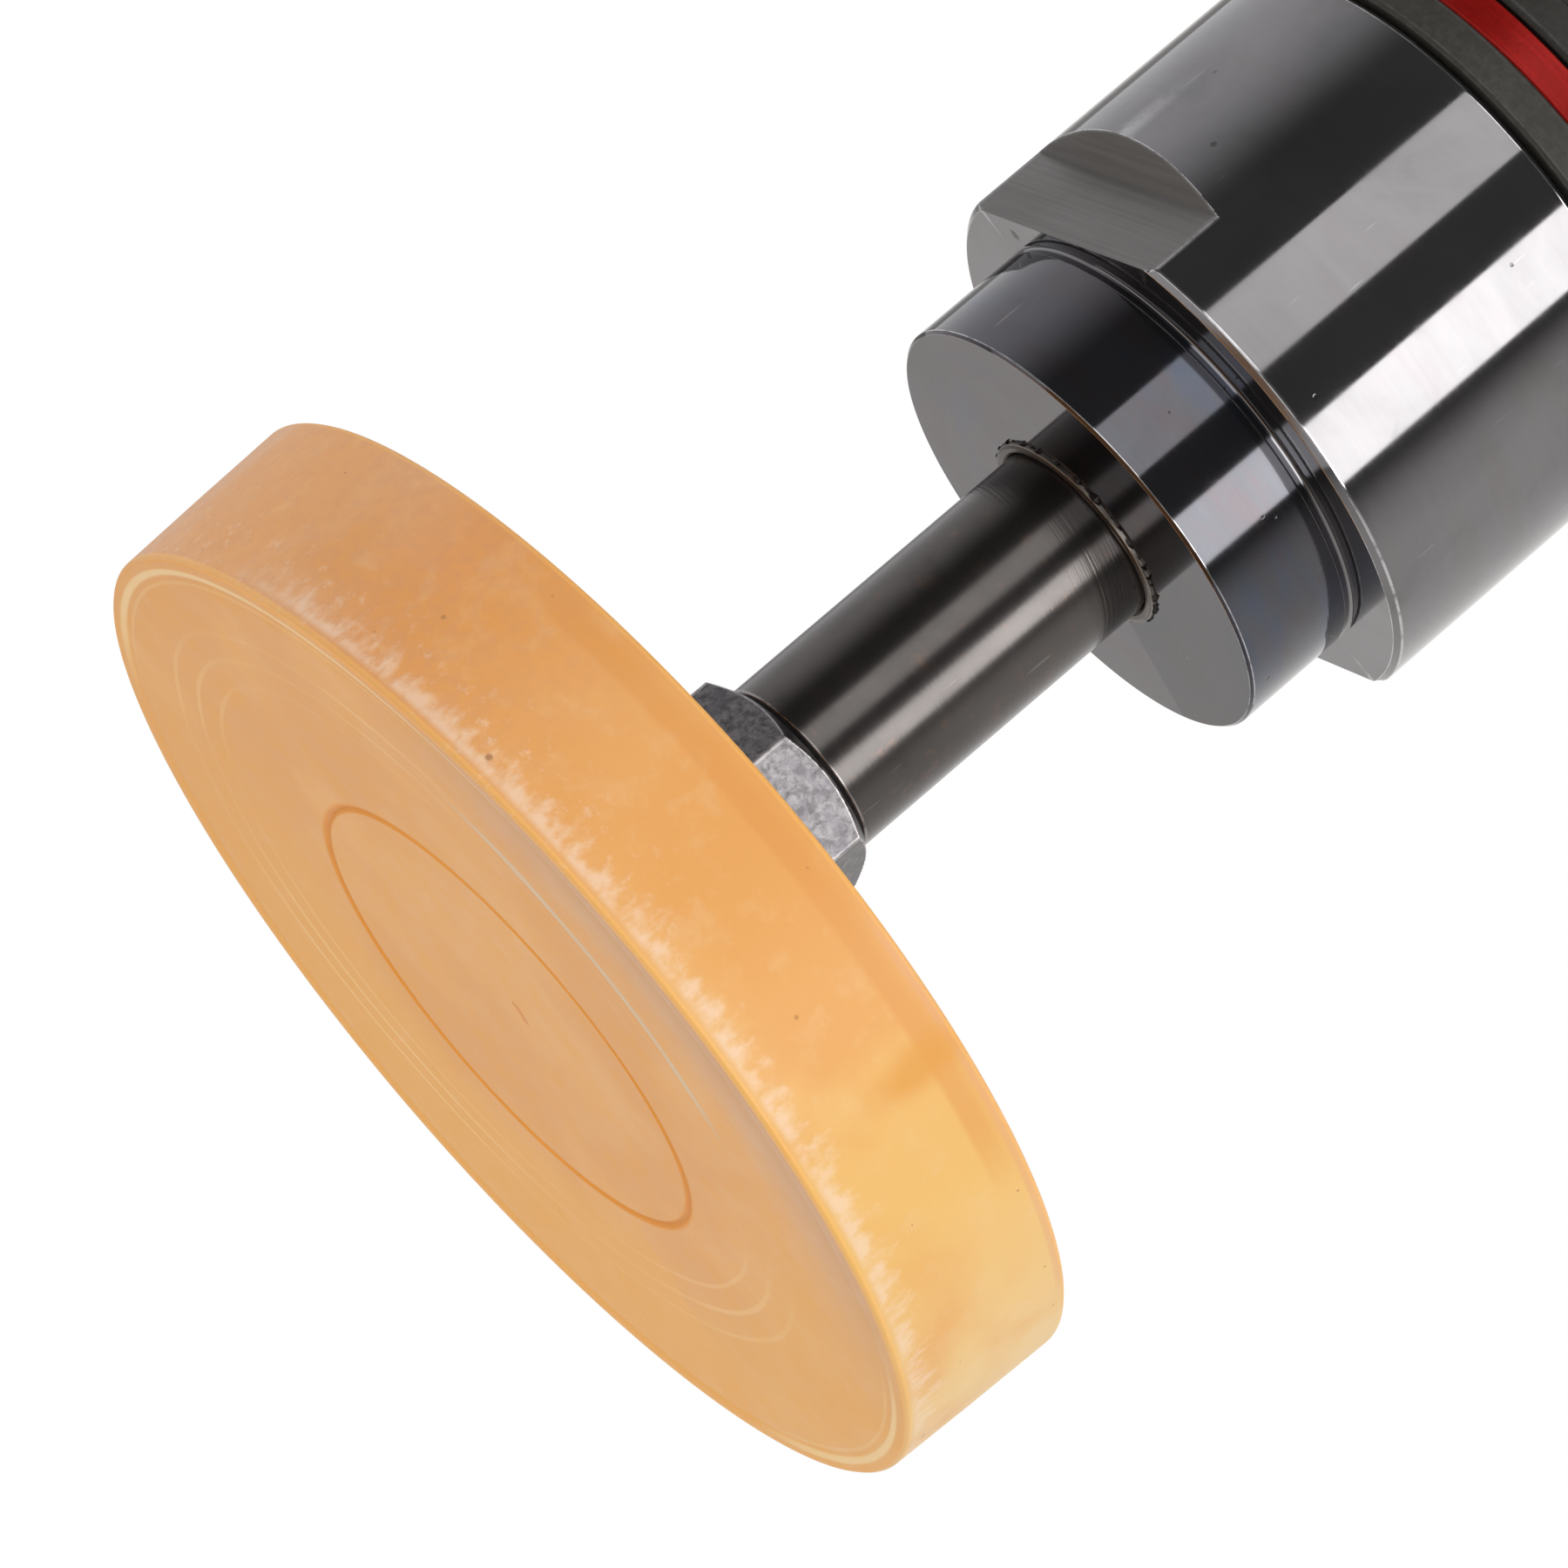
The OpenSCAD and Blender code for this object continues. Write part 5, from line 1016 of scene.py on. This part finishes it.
def gauze_screen():
    empty = bpy.data.meshes.new("gauze_source")
    mesh = grow("gauze_wires", empty, "Woven gauze", Wires=17, Disc_Radius=5.3 * MM, Wire_Radius=0.085 * MM,
                Station=metres_along(248.3), Material=MATERIALS["brass"])
    add_piece("gauze_wires", tidy_mesh(mesh, 40), TOOL, "brass", ["inlet_screen"])


gauze_screen()


# ---------------------------------------------------------------- studio

def emitter(name, corners, strength_of):
    """A glowing panel the camera doesn't see: it lights the tool and shows in its reflections."""
    mesh = bpy.data.meshes.new(name)
    mesh.from_pydata(corners, [], [(0, 1, 2, 3)])
    uv = mesh.uv_layers.new(name="UVMap")
    for loop, place in zip(uv.data, ((0, 0), (1, 0), (1, 1), (0, 1))):
        loop.uv = place
    panel = bpy.data.objects.new(name, mesh)
    bpy.context.scene.collection.objects.link(panel)
    made = bpy.data.materials.new(name + " glow")
    made.use_nodes = True
    made.node_tree.nodes.clear()
    b = Bench(made.node_tree)
    glow = b.node("ShaderNodeEmission")
    surface = b.node("ShaderNodeOutputMaterial")
    b.tree.links.new(glow.outputs[0], surface.inputs["Surface"])
    strength_of(b, glow)
    mesh.materials.append(made)
    panel.visible_camera = False
    return panel


def even_glow(strength):
    def strength_of(b, glow):
        glow.inputs["Strength"].default_value = strength
    return strength_of


def strip_panel(name, first, last, radiance, edge_in, edge_out, away=0.8, start=-0.55, end=1.15):
    """A long softbox parallel to the spindle, between two angles from the lever's side."""
    def at(angle, x):
        a = math.radians(angle)
        return (x, -math.sin(a) * away, math.cos(a) * away)
    corners = [at(first, start), at(last, start), at(last, end), at(first, end)]

    def strength_of(b, glow):
        u = b.split(b.node("ShaderNodeTexCoord").outputs["UV"])[0]
        level = b.math("MULTIPLY", b.step(u, 0.0, edge_in), b.step(u, 1.0, 1.0 - edge_out, 0.0, 1.0))
        b.feed(glow.inputs["Strength"], b.math("MULTIPLY", level, radiance))
    return emitter(name, corners, strength_of)


def light_floor(level=-0.30):
    """The pale floor, which the camera doesn't see: brightest under the tool, falling away round it."""
    corners = [(-4, -4, level), (4, -4, level), (4, 4, level), (-4, 4, level)]

    def strength_of(b, glow):
        x, y = b.split(b.node("ShaderNodeTexCoord").outputs["Object"])[:2]
        toward = b.step(y, -0.74, -0.20, 0.06, 1.0)
        behind = b.step(y, 1.6, 0.30, 0.35, 1.0)
        wheel_end = b.step(x, -1.2, -0.4, 0.35, 1.0)
        level_here = b.math("MULTIPLY", b.math("MULTIPLY", toward, behind), wheel_end)
        b.feed(glow.inputs["Strength"], b.math("MULTIPLY", level_here, 0.95))
        glow.inputs["Color"].default_value = (1.0, 0.985, 0.97, 1)
    return emitter("pale_floor", corners, strength_of)


def fill_panel():
    """A large soft panel beyond the wheel's face."""
    corners = [(-1.1, -0.9, -0.4), (-1.1, 0.9, -0.4), (-0.9, 0.9, 1.0), (-0.9, -0.9, 1.0)]
    return emitter("wheel_side_panel", corners, even_glow(1.06))


def overhead_fill():
    """Soft light from above that evens out the rubber without showing in the polished steel."""
    corners = [(-1.0, -0.2, 1.2), (0.6, -0.2, 1.2), (0.6, 1.2, 1.0), (-1.0, 1.2, 1.0)]
    panel = emitter("overhead_panel", corners, even_glow(1.7))
    panel.visible_glossy = False


strip_panel("upper_strip", 28.5, 58.5, 1.95, 0.03, 0.03)
strip_panel("side_strip", 82.5, 109.5, 5.2, 0.03, 0.05)
light_floor()
fill_panel()
overhead_fill()

world = bpy.data.worlds.new("Studio")
bpy.context.scene.world = world
world.use_nodes = True
world.node_tree.nodes.clear()
sky = Bench(world.node_tree)
direction = sky.node("ShaderNodeTexCoord").outputs["Generated"]
toward_back = sky.vector("DOT_PRODUCT", direction, (0.24, 0.94, 0.24))
glow_level = sky.step(toward_back, 0.30, 0.92, 0.05, 0.94)
seen = sky.node("ShaderNodeBackground", {"Color": (1, 1, 1, 1), "Strength": 1.0})
unseen = sky.node("ShaderNodeBackground", {"Color": (0.98, 0.98, 1.0, 1), "Strength": glow_level})
ray = sky.node("ShaderNodeLightPath").outputs["Is Camera Ray"]
both = sky.node("ShaderNodeMixShader", {"Fac": ray})
sky.tree.links.new(unseen.outputs[0], both.inputs[1])
sky.tree.links.new(seen.outputs[0], both.inputs[2])
sky.tree.links.new(both.outputs[0], sky.node("ShaderNodeOutputWorld").inputs["Surface"])


# ---------------------------------------------------------------- camera

AZIMUTH, ELEVATION, ROLL = math.radians(-17.902), math.radians(29.955), math.radians(31.314)
DISTANCE, FOCAL_LENGTH, SENSOR = 0.70943, 216.447, 36.0
AIM = Vector((-0.16153, 0, 0))           # on the spindle axis
AIM_RIGHT, AIM_UP = 0.000092, -0.000111


def place_camera():
    back = Vector((math.sin(AZIMUTH) * math.cos(ELEVATION), -math.cos(AZIMUTH) * math.cos(ELEVATION),
                   math.sin(ELEVATION)))
    level_right = Vector((math.cos(AZIMUTH), math.sin(AZIMUTH), 0))
    level_up = back.cross(level_right)
    right = math.cos(ROLL) * level_right - math.sin(ROLL) * level_up
    up = back.cross(right)
    lens = bpy.data.cameras.new("camera")
    lens.lens, lens.sensor_width, lens.clip_start = FOCAL_LENGTH, SENSOR, 0.01
    camera = bpy.data.objects.new("camera", lens)
    bpy.context.scene.collection.objects.link(camera)
    turn = Matrix((right, up, back)).transposed().to_4x4()
    looks_at = AIM + right * AIM_RIGHT + up * AIM_UP
    camera.matrix_world = Matrix.Translation(looks_at + back * DISTANCE) @ turn
    bpy.context.scene.camera = camera


place_camera()
bpy.context.scene.view_settings.view_transform = "Standard"
